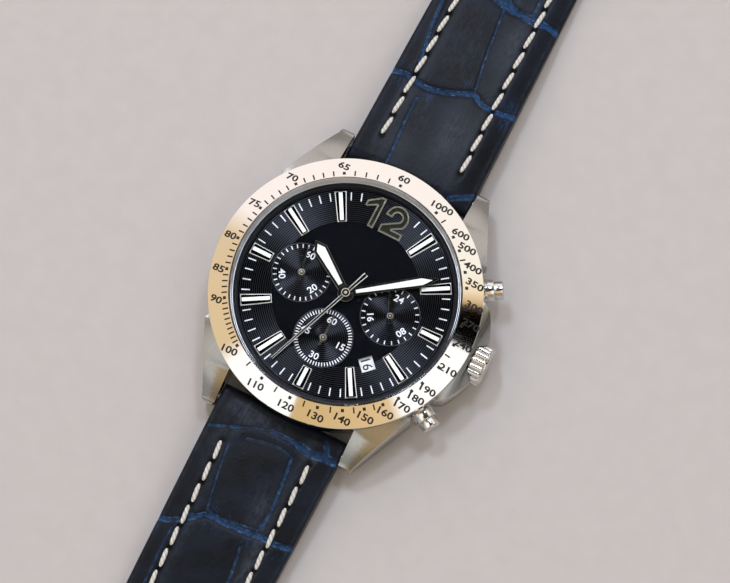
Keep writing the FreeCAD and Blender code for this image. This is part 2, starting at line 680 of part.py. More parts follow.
def main_plate():
    plate = disc(PLATE_RADIUS, PLATE_BOTTOM, DIAL_SEAT)
    plate = plate.cut(disc(RECESS_RADIUS, MOTION_FLOOR, DIAL_SEAT))
    plate = plate.cut(disc(DATE_RADIUS + LOOSE, DATE_SEAT - RUNNING, DIAL_SEAT))
    trains = motion_train()
    for wheel, rise in zip((trains[1], trains[5]), POST_RISE):
        plate = plate.fuse(disc(POST_RADIUS, MOTION_FLOOR, MOTION_FLOOR + rise, wheel.at))
    for angle in PILLAR_ANGLES:
        plate = plate.fuse(disc(PILLAR_RADIUS, BRIDGE_TOP, PLATE_BOTTOM, clock(PILLAR_CIRCLE, angle)))
    plate = plate.cut(disc(ARBOR_RADIUS + RUNNING, PLATE_BOTTOM, MOTION_FLOOR))
    for at in (subdial_places() + (counter_train()[1].at,)):
        plate = plate.cut(disc(SUB_ARBOR_RADIUS + RUNNING, PLATE_BOTTOM, MOTION_FLOOR, at))
    for foot in dial_feet(FOOT_ROOM):
        plate = plate.cut(foot)
    return plate.cut(pusher_notches()).cut(stem_channel())


def movement_ring():
    """The spacer that holds the movement between the case back and the dial."""
    body = ring(PLATE_RADIUS + FIT, CASE_BORE - RUNNING, SKIRT_TOP, DIAL_SEAT)
    lip = ring(BRIDGE_RADIUS + LOOSE, PLATE_RADIUS + FIT, SKIRT_TOP, PLATE_BOTTOM)
    return body.fuse(lip).cut(pusher_notches()).cut(stem_channel())


def motors(shape):
    """A piece drawn at 12 o'clock, copied to both stepping motors."""
    return [turn(shape, -angle) for angle in MOTOR_ANGLES]


def motor_coils():
    """Two wound bobbins, each round its core."""
    z, half = BRIDGE_TOP - CORE_THICKNESS / 2, COIL_LENGTH / 2
    coil = rod(COIL_RADIUS, (-half, MOTOR_DISTANCE, z), (half, MOTOR_DISTANCE, z))
    hole = block((-half, MOTOR_DISTANCE - CORE_WIDTH / 2, z - CORE_THICKNESS / 2),
                 (half, MOTOR_DISTANCE + CORE_WIDTH / 2, z + CORE_THICKNESS / 2))
    return Part.makeCompound(motors(coil.cut(hole)))


def motor_cores():
    """The soft iron bars through the bobbins and the stator plates on their ends."""
    y, half, top = MOTOR_DISTANCE, CORE_LENGTH / 2, BRIDGE_TOP
    core = block((-half, y - CORE_WIDTH / 2, top - CORE_THICKNESS), (half, y + CORE_WIDTH / 2, top))
    stator = block((-half, STATOR_INNER, top), (half, y + CORE_WIDTH / 2, top + STATOR_THICKNESS))
    legs = half - STATOR_LEG
    room = block((-legs, y - COIL_RADIUS - LOOSE, top), (legs, y + CORE_WIDTH, top + STATOR_THICKNESS))
    return Part.makeCompound(motors(core.fuse(stator.cut(room))))


def motor_windows():
    """Openings in the bridge for the bobbins and their cores."""
    y, half, side = MOTOR_DISTANCE, CORE_LENGTH / 2 + LOOSE, COIL_RADIUS + LOOSE
    return motors(block((-half, y - side, BRIDGE_BOTTOM), (half, y + side, BRIDGE_TOP)))


def battery_at():
    return clock(BATTERY_DISTANCE, 0)


def train_bridge():
    bridge = disc(BRIDGE_RADIUS, BRIDGE_BOTTOM, BRIDGE_TOP)
    bridge = bridge.cut(disc(BATTERY_RADIUS + LOOSE, BRIDGE_BOTTOM, BRIDGE_TOP, battery_at()))
    for window in motor_windows():
        bridge = bridge.cut(window)
    for at in ((0.0, 0.0), counter_train()[1].at) + subdial_places()[1:]:
        bridge = bridge.cut(disc(ARBOR_RADIUS + RUNNING, BRIDGE_TOP - PIVOT_DEPTH, BRIDGE_TOP, at))
    return bridge.cut(stem_channel())


def battery():
    low = PLATE_BOTTOM - BATTERY_HEIGHT
    cap, shoulder = BATTERY_RADIUS - BATTERY_STEP[0], low + BATTERY_STEP[1]
    return turned([(0, low), (cap, low), (cap, shoulder), (BATTERY_RADIUS, shoulder),
                   (BATTERY_RADIUS, PLATE_BOTTOM), (0, PLATE_BOTTOM)], battery_at())


def battery_clamp():
    """A sprung strap over the battery, its feet on the bridge."""
    x, y = battery_at()
    low = PLATE_BOTTOM - BATTERY_HEIGHT - CLAMP_THICKNESS
    near, reach, half = BATTERY_RADIUS + 2 * LOOSE, BATTERY_RADIUS + CLAMP_FOOT, CLAMP_WIDTH / 2
    strap = block((x - reach, y - half, low), (x + reach, y + half, low + CLAMP_THICKNESS))
    for side in (-1, 1):
        foot = sorted((x + side * near, x + side * reach))
        strap = strap.fuse(block((foot[0], y - half, low), (foot[1], y + half, BRIDGE_BOTTOM)))
    return strap


def cannon_pinion():
    low, bore = MOTION_FLOOR + 2 * RUNNING, ARBOR_RADIUS + RUNNING
    teeth = motion_train()[0].solid(low, bore)
    return teeth.fuse(ring(bore, bore + CANNON_WALL, low, MINUTE_HAND_Z + HAND_THICKNESS))


def cannon_radius():
    return ARBOR_RADIUS + RUNNING + CANNON_WALL


def minute_wheel():
    trains = motion_train()
    bore, low = POST_RADIUS + RUNNING, MOTION_FLOOR + 2 * RUNNING
    wheel = trains[1].solid(low, bore)
    return wheel.fuse(trains[2].solid(low + WHEEL_THICKNESS, bore, 2 * WHEEL_THICKNESS))


def hour_wheel():
    """The hour wheel with its pipe and the pinion of the day train."""
    trains = motion_train()
    bore = cannon_radius() + RUNNING
    low = MOTION_FLOOR + 4 * RUNNING + WHEEL_THICKNESS
    wheel = trains[3].solid(low, bore)
    pipe = ring(bore, bore + CANNON_WALL, low, HOUR_HAND_Z + HAND_THICKNESS)
    return wheel.fuse(pipe).fuse(trains[4].solid(day_train_low(), bore))


def day_train_low():
    return MOTION_FLOOR + 6 * RUNNING + 2 * WHEEL_THICKNESS


def day_idler():
    return motion_train()[5].solid(day_train_low(), POST_RADIUS + RUNNING)


def sub_arbor(at, low, high):
    return disc(SUB_ARBOR_RADIUS, low, high, at)


def day_wheel():
    at = (SUBDIAL_DISTANCE, 0.0)
    wheel = motion_train()[6].solid(day_train_low())
    return wheel.fuse(sub_arbor(at, PLATE_BOTTOM + 0.1, SUB_HAND_Z + SUB_HAND_THICKNESS))


def counter_level():
    """Height of the counter train's first wheel, over the train bridge."""
    return BRIDGE_TOP + 2.5 * WHEEL_THICKNESS


def pivot_z():
    """Foot of the arbors that turn in the train bridge."""
    return BRIDGE_TOP - PIVOT_DEPTH + RUNNING


def chrono_seconds_arbor():
    teeth = counter_train()[0].solid(counter_level())
    return teeth.fuse(disc(ARBOR_RADIUS, pivot_z(), SECONDS_HUB_TOP))


def counter_wheel():
    trains = counter_train()
    wheel = trains[1].solid(counter_level())
    pinion = trains[2].solid(BRIDGE_TOP + WHEEL_THICKNESS / 2, 0.0, 2 * WHEEL_THICKNESS)
    return wheel.fuse(pinion).fuse(sub_arbor(trains[1].at, pivot_z(), MOTION_FLOOR - RUNNING))


def counter_arbor():
    at = (-SUBDIAL_DISTANCE, 0.0)
    wheel = counter_train()[3].solid(BRIDGE_TOP + WHEEL_THICKNESS)
    return wheel.fuse(sub_arbor(at, pivot_z(), SUB_HAND_Z + SUB_HAND_THICKNESS))


def small_seconds_arbor():
    at = (0.0, -SUBDIAL_DISTANCE)
    wheel = Gear(20, MOTION_MODULE, at).solid(counter_level())
    return wheel.fuse(sub_arbor(at, pivot_z(), SUB_HAND_Z + SUB_HAND_THICKNESS))


def date_ring():
    """The date disc, driven by its inner teeth."""
    inner, low = DATE_RADIUS - DATE_RING_WIDTH, DATE_SEAT
    edge = []
    pitch = 2 * math.pi / DATE_TEETH
    for i in range(DATE_TEETH):
        tip = inner - DATE_TOOTH
        for share, radius in ((-0.2, inner), (-0.06, tip), (0.06, tip), (0.2, inner)):
            a = (i + share) * pitch
            edge.append((radius * math.cos(a), radius * math.sin(a)))
    body = disc(DATE_RADIUS, low, low + DATE_RING_THICKNESS)
    return body.cut(plan_prism(edge, low, low + DATE_RING_THICKNESS))


# ---------------------------------------------------------------- dial

def dial_feet(extra=0.0):
    """The two pins that place the dial on the movement."""
    foot = DIAL_SEAT - FOOT_LENGTH - extra
    return [disc(FOOT_RADIUS + extra, foot, DIAL_SEAT, clock(FOOT_CIRCLE, angle)) for angle in FOOT_ANGLES]


def subdial_places():
    return (SUBDIAL_DISTANCE, 0.0), (0.0, -SUBDIAL_DISTANCE), (-SUBDIAL_DISTANCE, 0.0)


def date_window():
    half = DATE_WIDE / 2
    hole = block((-half, DATE_AT - DATE_TALL / 2, DIAL_SEAT), (half, DATE_AT + DATE_TALL / 2, DIAL_TOP))
    return turn(hole, -DATE_ANGLE)


def dial():
    plate = disc(CASE_BORE - RUNNING, DIAL_SEAT, DIAL_TOP)
    for at in subdial_places():
        plate = plate.cut(disc(SUBDIAL_RADIUS, DIAL_TOP - SUBDIAL_DEPTH, DIAL_TOP, at))
        plate = plate.cut(disc(SUB_ARBOR_RADIUS + 0.1, DIAL_SEAT, DIAL_TOP, at))
    plate = plate.cut(disc(ARBOR_RADIUS + 0.6, DIAL_SEAT, DIAL_TOP)).cut(date_window())
    for foot in dial_feet():
        plate = plate.fuse(foot)
    return plate


def marker_angles():
    """Hours with a bar, and where each bar starts: 3, 6 and 9 clear their dials."""
    return [(30 * hour, MARKER_INNER if hour % 3 else SHORT_MARKER_INNER) for hour in range(1, 12)]


def half_width(radius):
    """Half a marker's width, which grows outwards."""
    inner, outer = MARKER_WIDTH
    return (inner + (outer - inner) * (radius - MARKER_INNER) / (MARKER_OUTER - MARKER_INNER)) / 2


def marker_bar(start):
    """A bar with sloping sides and a groove along its flat top."""
    def section(radius):
        wide = half_width(radius)
        top = wide * MARKER_TOP + LUME_WIDTH / 4
        half = [(wide, 0), (wide, MARKER_EDGE), (top, MARKER_HEIGHT)]
        corners = half + [(-x, z) for x, z in reversed(half)]
        points = [point(x, radius, DIAL_TOP + z) for x, z in corners]
        return Part.makePolygon(points + points[:1])
    bar = upright(Part.makeLoft([section(start), section(MARKER_OUTER)], True, True))
    return bar.cut(lume_strip(start))


def lume_strip(start):
    half, top = LUME_WIDTH / 2, DIAL_TOP + MARKER_HEIGHT
    return block((-half, start + LUME_MARGIN, top - LUME_DEPTH), (half, MARKER_OUTER - LUME_MARGIN, top))


def hour_markers():
    return Part.makeCompound([turn(marker_bar(start), -angle) for angle, start in marker_angles()])


def marker_lume():
    return Part.makeCompound([turn(lume_strip(start), -angle) for angle, start in marker_angles()])


def numeral_one():
    w, top, foot = NUMERAL_STROKE, NUMERAL_TOP, NUMERAL_FOOT
    right = -w
    left = right - w + 0.1
    flag = [(right - 0.75, top), (right - 2.5, top - 1.25), (right - 2.5, top - 1.95)]
    under = [(right - 2.2, top - 2.1), (left, top - 1.35), (left, foot)]
    return [(right, foot), (right, top)] + flag + under


def numeral_two():
    """A two: a hooked bowl, a diagonal and a foot."""
    w, top, foot = NUMERAL_STROKE, NUMERAL_TOP, NUMERAL_FOOT
    left, right = -0.15, 3.3
    cx, outer = (left + right) / 2, (right - left) / 2
    cy, inner = top - outer, outer - w
    turn_x, turn_y = math.cos(math.radians(40)), math.sin(math.radians(40))
    base = [(left, foot), (right, foot), (right, foot + w), (left + 1.75, foot + w)]
    bowl = [(cx + outer * turn_x + 0.05, cy - outer * turn_y - 0.1),
            ((cx + outer, cy), (cx, top)),
            ((cx - outer * 0.707, cy + outer * 0.707), (left, cy))]
    hook = [(left, cy - 0.25), (left + w, cy - 0.25), (left + w, cy)]
    inside = [((cx, cy + inner), (cx + inner * turn_x, cy - inner * turn_y)), (left, foot + w + 0.15)]
    return base + bowl + hook + inside


def numeral_twelve():
    """The applied 12, with a sunk face inside a raised edge."""
    figures = []
    for steps in (numeral_one(), numeral_two()):
        face = outline(steps, lambda x, y: point(x, y, DIAL_TOP))
        figure = upright(face.extrude(point(0, 0, MARKER_HEIGHT)))
        sunk = face.makeOffset2D(-NUMERAL_EDGE)
        sunk.translate(point(0, 0, MARKER_HEIGHT - NUMERAL_SINK))
        figures.append(figure.cut(upright(sunk.extrude(point(0, 0, NUMERAL_SINK)))))
    return Part.makeCompound(figures)


# ---------------------------------------------------------------- hands

def pointer(steps, low, high, angle, at=(0.0, 0.0)):
    """A flat hand drawn along +Y, set to its angle about its own centre."""
    hand = plan_prism(steps, low, high)
    hand.translate(point(*at))
    return turn(hand, -angle, at)


def tapered(root, shoulder, tip, root_half, shoulder_half):
    """Outline of a hand that widens to its shoulder and comes to a point."""
    right = [(root_half, root), (shoulder_half, shoulder)]
    return right + [(0, tip), (-shoulder_half, shoulder), (-root_half, root)]


# root, shoulder and tip along each hand, then its half widths at the first two
HOUR_SHAPE = (0.0, HOUR_TIP - 1.5, HOUR_TIP, 0.62, 1.05)
HOUR_LUME = (1.6, HOUR_TIP - 1.65, HOUR_TIP - 0.7, 0.3, 0.66)
MINUTE_SHAPE = (0.0, MINUTE_TIP - 2.4, MINUTE_TIP, 0.52, 0.82)
MINUTE_LUME = (1.5, MINUTE_TIP - 2.5, MINUTE_TIP - 1.0, 0.24, 0.5)


def broad_hand(shape, lume, low, angle, hub, bore):
    blade = pointer(tapered(*shape), low, low + HAND_THICKNESS, angle)
    hand = blade.fuse(disc(hub, low, low + HAND_THICKNESS))
    hand = hand.cut(pointer(tapered(*lume), low, low + HAND_THICKNESS, angle))
    return hand.cut(disc(bore, low, low + HAND_THICKNESS))


def hour_hand():
    bore = cannon_radius() + RUNNING + CANNON_WALL
    return broad_hand(HOUR_SHAPE, HOUR_LUME, HOUR_HAND_Z, HOUR_ANGLE, HUB_RADII[0], bore)


def hour_hand_lume():
    return pointer(tapered(*HOUR_LUME), HOUR_HAND_Z, HOUR_HAND_Z + HAND_THICKNESS, HOUR_ANGLE)


def minute_hand():
    bore = cannon_radius()
    return broad_hand(MINUTE_SHAPE, MINUTE_LUME, MINUTE_HAND_Z, MINUTE_ANGLE, HUB_RADII[1], bore)


def minute_hand_lume():
    return pointer(tapered(*MINUTE_LUME), MINUTE_HAND_Z, MINUTE_HAND_Z + HAND_THICKNESS, MINUTE_ANGLE)


def chrono_seconds_hand():
    low, high = SECONDS_HAND_Z, SECONDS_HUB_TOP
    thin = low + HAND_THICKNESS * 0.6
    needle = [(-0.26, 0), (0.26, 0), (0.17, SECONDS_TIP), (-0.17, SECONDS_TIP)]
    weight = [(-0.22, 0), (0.22, 0), (0.36, -4.0), (-0.36, -4.0)]
    slot = [(-0.1, -0.9), (0.1, -0.9), (0.21, -3.85), (-0.21, -3.85)]
    hand = pointer(needle, low, thin, SECONDS_ANGLE).fuse(pointer(weight, low, thin, SECONDS_ANGLE))
    hand = hand.cut(pointer(slot, low, thin, SECONDS_ANGLE))
    return hand.fuse(disc(HUB_RADII[2], low, high)).cut(disc(ARBOR_RADIUS, low, high))


def sub_hand(at, angle, setback, half, tail):
    """A small counter's hand on its hub."""
    low, high = SUB_HAND_Z, SUB_HAND_Z + SUB_HAND_THICKNESS
    length = SUBDIAL_RADIUS - setback
    steps = [(-half, -tail), (half, -tail), (half * 0.6, length), (-half * 0.6, length)]
    hand = pointer(steps, low, high, angle, at).fuse(disc(HUB_RADII[3], low, high, at))
    return hand.cut(disc(SUB_ARBOR_RADIUS, low, high, at))


def small_seconds_hand():
    return sub_hand((0.0, -SUBDIAL_DISTANCE), SMALL_SECONDS_ANGLE, SUB_SETBACKS[0], 0.13, 1.2)


def chrono_minutes_hand():
    return sub_hand((-SUBDIAL_DISTANCE, 0.0), COUNTER_ANGLE, SUB_SETBACKS[1], 0.13, 1.2)


def day_hand():
    return sub_hand((SUBDIAL_DISTANCE, 0.0), DAY_ANGLE, SUB_SETBACKS[2], 0.24, 1.1)


# ---------------------------------------------------------------- strap

def strap_half_width(y):
    """Half the strap's width, which narrows from the lugs to the buckle bar."""
    share = (y - SPRING_BAR_Y) / BUCKLE_HALF
    return (STRAP_WIDTH + (STRAP_END_WIDTH - STRAP_WIDTH) * share) / 2


def strap_body(far, plan):
    """A strap half without its holes: its side outline within its plan."""
    y, z, r = SPRING_BAR_Y, SPRING_BAR_Z, LUG_LOOP_RADIUS
    start = [(y + 35, STRAP_THICKNESS),
             ((y + 16, z + r - 0.95), (y, z + r)),
             ((y - r, z), (y, z - r)),
             (y + 8, 0)]
    half = STRAP_WIDTH / 2
    body = side_prism(start + far, -half, half)
    body = body.common(plan_prism(plan, -1, SEAT_TOP + 4))
    return body.cut(rod(SPRING_BAR_RADIUS + RUNNING, (-half, y, z), (half, y, z)))


def buckle_half_plan():
    near = SPRING_BAR_Y - LUG_LOOP_RADIUS
    far = BUCKLE_BAR_Y + STRAP_THICKNESS / 2
    half, end = STRAP_WIDTH / 2, strap_half_width(BUCKLE_BAR_Y)
    return [(-half, near), (half, near), (half, SPRING_BAR_Y), (end, BUCKLE_BAR_Y), (end, far), (-end, far),
            (-end, BUCKLE_BAR_Y), (-half, SPRING_BAR_Y)]


def buckle_half():
    """The short half: it rises over the keepers and loops round the buckle bar."""
    r, bar = STRAP_THICKNESS / 2, BUCKLE_BAR_Y
    far = [(RISE_START, 0),
           (RISE_END, KEEPER_LIFT),
           (bar, KEEPER_LIFT),
           ((bar + r, BUCKLE_BAR_Z), (bar, SEAT_TOP)),
           (RISE_END, SEAT_TOP)]
    body = strap_body(far, buckle_half_plan())
    z, radius = BUCKLE_BAR_Z, BUCKLE_BAR_RADIUS + RUNNING
    body = body.cut(rod(radius, (-LUG_GAP, bar, z), (LUG_GAP, bar, z)))
    slot = block((-SLOT_WIDTH / 2, bar - SLOT_LENGTH, 0), (SLOT_WIDTH / 2, bar + r + 1, SEAT_TOP + 1))
    return body.cut(slot)


def buckle_lining_zone():
    end = BUCKLE_BAR_Y - SLOT_LENGTH - 1
    low = [(LINING_START, -1), (RISE_START, -1), (RISE_END, KEEPER_LIFT), (end, KEEPER_LIFT)]
    high = [(end, KEEPER_LIFT + LINING), (RISE_END, KEEPER_LIFT + LINING), (RISE_START, LINING)]
    return side_prism(low + high + LINING_NOSE, -STRAP_WIDTH, STRAP_WIDTH)


def strap_buckle_side():
    return buckle_half().cut(buckle_lining_zone())


def strap_buckle_lining():
    return buckle_half().common(buckle_lining_zone())


def tail_half():
    """The long half, built towards 12 o'clock and mirrored into place by its callers."""
    y = SPRING_BAR_Y
    tip, shoulder = TIP_Y, TIP_Y - TAIL_POINT
    half = STRAP_WIDTH / 2
    end = strap_half_width(BUCKLE_BAR_Y)
    side_x, side_y = end * 0.72, shoulder + TAIL_POINT * 0.62
    plan = [(-half, y - LUG_LOOP_RADIUS),
            (half, y - LUG_LOOP_RADIUS),
            (half, y),
            (end, BUCKLE_BAR_Y),
            (end, shoulder),
            ((side_x, side_y), (TIP_NOSE, tip - 0.35)),
            ((0, tip), (-TIP_NOSE, tip - 0.35)),
            ((-side_x, side_y), (-end, shoulder)),
            (-end, BUCKLE_BAR_Y),
            (-half, y)]
    body = strap_body([(tip, 0), (tip, STRAP_THICKNESS - 0.5), (tip - 4, STRAP_THICKNESS)], plan)
    for i in range(HOLES):
        at = (0, shoulder - HOLE_SETBACK - HOLE_PITCH * i)
        body = body.cut(disc(HOLE_RADIUS, -1, SEAT_TOP, at))
    return body


def tail_lining_zone():
    steps = [(LINING_START, -1), (TIP_Y, -1), (TIP_Y, LINING)] + LINING_NOSE
    return side_prism(steps, -STRAP_WIDTH, STRAP_WIDTH)


def strap_tail_side():
    return mirror_y(tail_half().cut(tail_lining_zone()))


def strap_tail_lining():
    return mirror_y(tail_half().common(tail_lining_zone()))


def keeper(middle):
    """A leather loop round the strap with room above for the tail."""
    inner_low = KEEPER_LIFT - RUNNING
    inner_high = SEAT_TOP + KEEPER_ROOM
    half = KEEPER_HALF
    outer = half + KEEPER_WALL
    low, high = inner_low - KEEPER_WALL, inner_high + KEEPER_WALL
    r = 1.1
    d = r * (1 - math.sqrt(0.5))
    frame = [(-outer + r, low),
             (outer - r, low),
             ((outer - d, low + d), (outer, low + r)),
             (outer, high - r),
             ((outer - d, high - d), (outer - r, high)),
             (-outer + r, high),
             ((-outer + d, high - d), (-outer, high - r)),
             (-outer, low + r),
             ((-outer + d, low + d), (-outer + r, low))]
    near, far = middle - KEEPER_WIDTH / 2, middle + KEEPER_WIDTH / 2
    hole = block((-half, near, inner_low), (half, far, inner_high))
    return end_prism(frame, near, far).cut(hole)


def fixed_keeper():
    return keeper(BUCKLE_BAR_Y - FIXED_KEEPER_SETBACK)


def free_keeper():
    return keeper(BUCKLE_BAR_Y - FREE_KEEPER_SETBACK)


def buckle_frame():
    """A rounded steel frame that turns on the buckle bar."""
    y, z, r = BUCKLE_BAR_Y, BUCKLE_BAR_Z, BUCKLE_THICKNESS / 2
    front = y + BUCKLE_WINDOW + BUCKLE_FRONT
    window = BUCKLE_INSIDE / 2
    outer = window + BUCKLE_ARM
    side = [(y, z + r),
            ((y - r, z), (y, z - r)),
            (front - 1.8, 0.15),
            ((front - 0.4, 0.5), (front, 1.6)),
            ((front - 0.5, 2.75), (front - 1.8, z + r - TONGUE_THICKNESS))]
    plan = [(-outer, y - r - 1),
            (outer, y - r - 1),
            (outer, front - 2.5),
            ((outer - 0.75, front - 0.75), (outer - 2.5, front)),
            (-outer + 2.5, front),
            ((-outer + 0.75, front - 0.75), (-outer, front - 2.5))]
    frame = side_prism(side, -outer, outer).common(plan_prism(plan, -1, SEAT_TOP + 4))
    frame = frame.cut(block((-window, y - r - 1, -1), (window, y + BUCKLE_WINDOW, SEAT_TOP + 4)))
    reach = outer - PIVOT_INSET
    return frame.cut(rod(PIVOT_RADIUS, (-reach, y, z), (reach, y, z)))


def buckle_bar():
    """The sprung bar that carries the buckle's frame and tongue."""
    y, z = BUCKLE_BAR_Y, BUCKLE_BAR_Z
    half = BUCKLE_INSIDE / 2 - FIT
    reach = BUCKLE_INSIDE / 2 + BUCKLE_ARM - PIVOT_INSET
    pivots = rod(PIVOT_RADIUS, (-reach, y, z), (reach, y, z))
    return rod(BUCKLE_BAR_RADIUS, (-half, y, z), (half, y, z)).fuse(pivots)


def buckle_tongue():
    """The pin: a loop round the buckle bar and an arm out over the frame's front."""
    y, z = BUCKLE_BAR_Y, BUCKLE_BAR_Z
    bore_radius = BUCKLE_BAR_RADIUS + RUNNING
    outer = bore_radius + TONGUE_WALL
    half = TONGUE_WIDTH / 2
    near, far = y + TONGUE_BEND, y + BUCKLE_WINDOW - TONGUE_DIP
    front = y + BUCKLE_WINDOW + BUCKLE_FRONT
    rest = z + BUCKLE_THICKNESS / 2 - TONGUE_THICKNESS + RUNNING
    loop = rod(outer, (-half, y, z), (half, y, z))
    bend = rest + TONGUE_RISE
    under = [(y, z + outer - 1.1), (near, bend), (far, bend), (front - 1.5, rest)]
    nose = [(front + 0.6, rest - 0.35), (front + 0.8, rest + 0.05)]
    top = rest + TONGUE_THICKNESS
    over = [(front - 1.2, top), (far, top + 0.15), (near, z + outer), (y, z + outer)]
    arm = side_prism(under + nose + over, -half, half)
    return loop.fuse(arm).cut(rod(bore_radius, (-half, y, z), (half, y, z)))


# ---------------------------------------------------------------- the watch

PIECES = {
    "case_middle": case_middle,
    "bezel": bezel,
    "crystal": crystal,
    "rehaut": rehaut,
    "case_back": case_back,
    "spring_bars": spring_bars,
    "crown_tube": crown_tube,
    "crown": crown,
    "stem": stem,
    "setting_lever": setting_lever,
    "pusher_tubes": pusher_tubes,
    "start_pusher": lambda: pusher(1),
    "reset_pusher": lambda: pusher(-1),
    "main_plate": main_plate,
    "movement_ring": movement_ring,
    "train_bridge": train_bridge,
    "motor_coils": motor_coils,
    "motor_cores": motor_cores,
    "battery": battery,
    "battery_clamp": battery_clamp,
    "cannon_pinion": cannon_pinion,
    "minute_wheel": minute_wheel,
    "hour_wheel": hour_wheel,
    "day_idler": day_idler,
    "day_wheel": day_wheel,
    "chrono_seconds_arbor": chrono_seconds_arbor,
    "counter_wheel": counter_wheel,
    "counter_arbor": counter_arbor,
    "small_seconds_arbor": small_seconds_arbor,
    "date_ring": date_ring,
    "dial": dial,
    "hour_markers": hour_markers,
    "marker_lume": marker_lume,
    "numeral_twelve": numeral_twelve,
    "hour_hand": hour_hand,
    "hour_hand_lume": hour_hand_lume,
    "minute_hand": minute_hand,
    "minute_hand_lume": minute_hand_lume,
    "chrono_seconds_hand": chrono_seconds_hand,
    "small_seconds_hand": small_seconds_hand,
    "chrono_minutes_hand": chrono_minutes_hand,
    "day_hand": day_hand,
    "strap_buckle_side": strap_buckle_side,
    "strap_buckle_lining": strap_buckle_lining,
    "strap_tail_side": strap_tail_side,
    "strap_tail_lining": strap_tail_lining,
    "fixed_keeper": fixed_keeper,
    "free_keeper": free_keeper,
    "buckle_frame": buckle_frame,
    "buckle_bar": buckle_bar,
    "buckle_tongue": buckle_tongue,
}

os.makedirs("parts", exist_ok=True)
for name, make in PIECES.items():
    shape = make()
    shape.exportStep(f"parts/{name}.step")
    print(f"{name}: {len(shape.Solids)} solids, {shape.Volume:.3f} mm3, valid {shape.isValid()}")
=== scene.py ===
"""Looks of a quartz chronograph wristwatch lying open on its two-part leather strap.

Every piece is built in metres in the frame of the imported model: the origin is on
the hands' axis at the case back, +Z leaves the dial and +Y points to 12 o'clock.
Sizes below are in millimetres and pass through MM.
"""

import logging
import math
from collections.abc import Callable, Iterable, Iterator, Sequence
from contextlib import contextmanager
from dataclasses import dataclass, field
from enum import Enum

import bpy
import numpy as np
from mathutils import Matrix, Vector


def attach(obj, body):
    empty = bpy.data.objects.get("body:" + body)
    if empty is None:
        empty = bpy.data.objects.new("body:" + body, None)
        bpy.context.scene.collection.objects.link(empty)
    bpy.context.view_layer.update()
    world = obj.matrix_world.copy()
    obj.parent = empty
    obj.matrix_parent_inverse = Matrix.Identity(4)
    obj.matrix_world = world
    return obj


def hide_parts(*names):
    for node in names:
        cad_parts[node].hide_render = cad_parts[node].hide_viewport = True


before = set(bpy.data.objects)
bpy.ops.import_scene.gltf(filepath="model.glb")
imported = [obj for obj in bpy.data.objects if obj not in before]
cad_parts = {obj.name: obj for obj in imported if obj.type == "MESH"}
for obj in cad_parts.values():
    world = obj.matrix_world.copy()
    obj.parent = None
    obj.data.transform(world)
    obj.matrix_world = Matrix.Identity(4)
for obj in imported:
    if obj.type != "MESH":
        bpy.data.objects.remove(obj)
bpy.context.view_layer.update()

log = logging.getLogger("wristwatch")
MM = 0.001
Point = tuple[float, float]
Place = tuple[float, float, float]
Colour = tuple[float, float, float, float]
Piece = bpy.types.Object
Material = bpy.types.Material
Tree = bpy.types.NodeTree
Socket = bpy.types.NodeSocket


# ---------------------------------------------------------------- shader helpers

def srgb(code: str) -> Colour:
    """Turns an sRGB hex value into a linear colour.

    Args:
        code: six hex digits, such as "1A2B3C".

    Returns:
        The linear red, green and blue, and an alpha of 1.
    """
    parts = [int(code[i:i + 2], 16) / 255 for i in (0, 2, 4)]
    linear = [p / 12.92 if p <= 0.04045 else ((p + 0.055) / 1.055) ** 2.4 for p in parts]
    return (linear[0], linear[1], linear[2], 1.0)


def grey(level: float) -> Colour:
    """A neutral colour of one linear level."""
    return (level, level, level, 1.0)


def add(tree: Tree, kind: str, inputs: dict | None = None, **settings: object) -> bpy.types.Node:
    """Adds a shader node with its settings and links.

    Args:
        tree: the node tree that gets the node.
        kind: the node's type, without "ShaderNode".
        inputs: a value, or another node's output, for each named or numbered input.
        settings: the node's own properties; stops gives a colour ramp its stops.

    Returns:
        The new node.
    """
    made = tree.nodes.new("ShaderNode" + kind)
    stops = settings.pop("stops", None)
    for key, value in settings.items():
        setattr(made, key, value)
    for i, (place, colour) in enumerate(stops or ()):
        ramp = made.color_ramp.elements
        stop = ramp[i] if i < 2 else ramp.new(place)
        stop.position = place
        stop.color = colour
    for key, value in (inputs or {}).items():
        if isinstance(value, Socket):
            tree.links.new(value, made.inputs[key])
        else:
            made.inputs[key].default_value = value
    return made


def reckon(tree: Tree, operation: str, *values: Socket | float) -> Socket:
    """One step of arithmetic on numbers."""
    return add(tree, "Math", dict(enumerate(values)), operation=operation).outputs[0]


def vector(tree: Tree, operation: str, *values: Socket | Place) -> Socket:
    """One step of arithmetic on vectors; a length or a dot product gives a number."""
    outputs = add(tree, "VectorMath", dict(enumerate(values)), operation=operation).outputs
    return outputs["Value" if operation in ("LENGTH", "DOT_PRODUCT") else 0]


def span(tree: Tree, value: Socket, start: float = 0.0, end: float = 1.0, low: float = 0.0, high: float = 1.0,
         **settings: object) -> Socket:
    """Turns one range of values into another.

    Args:
        tree: the node tree.
        value: the value.
        start: the value that becomes low.
        end: the value that becomes high.
        low: the first result.
        high: the last result.
        settings: the node's own properties.

    Returns:
        The socket that holds the result.
    """
    limits = {"From Min": start, "From Max": end, "To Min": low, "To Max": high}
    return add(tree, "MapRange", {"Value": value, **limits}, **settings).outputs[0]


def over(tree: Tree, under: Colour | Socket, share: float | Socket, top: Colour | Socket) -> Socket:
    """One colour laid over another by a share from 0 to 1."""
    return add(tree, "Mix", {0: share, 6: under, 7: top}, data_type="RGBA").outputs[2]


def noise(tree: Tree, place: Socket, size: float, **inputs: float) -> Socket:
    """Cloudy spots of one size in millimetres, from 0 to 1."""
    return add(tree, "TexNoise", {"Vector": place, "Scale": 1 / (size * MM), **inputs}).outputs["Fac"]


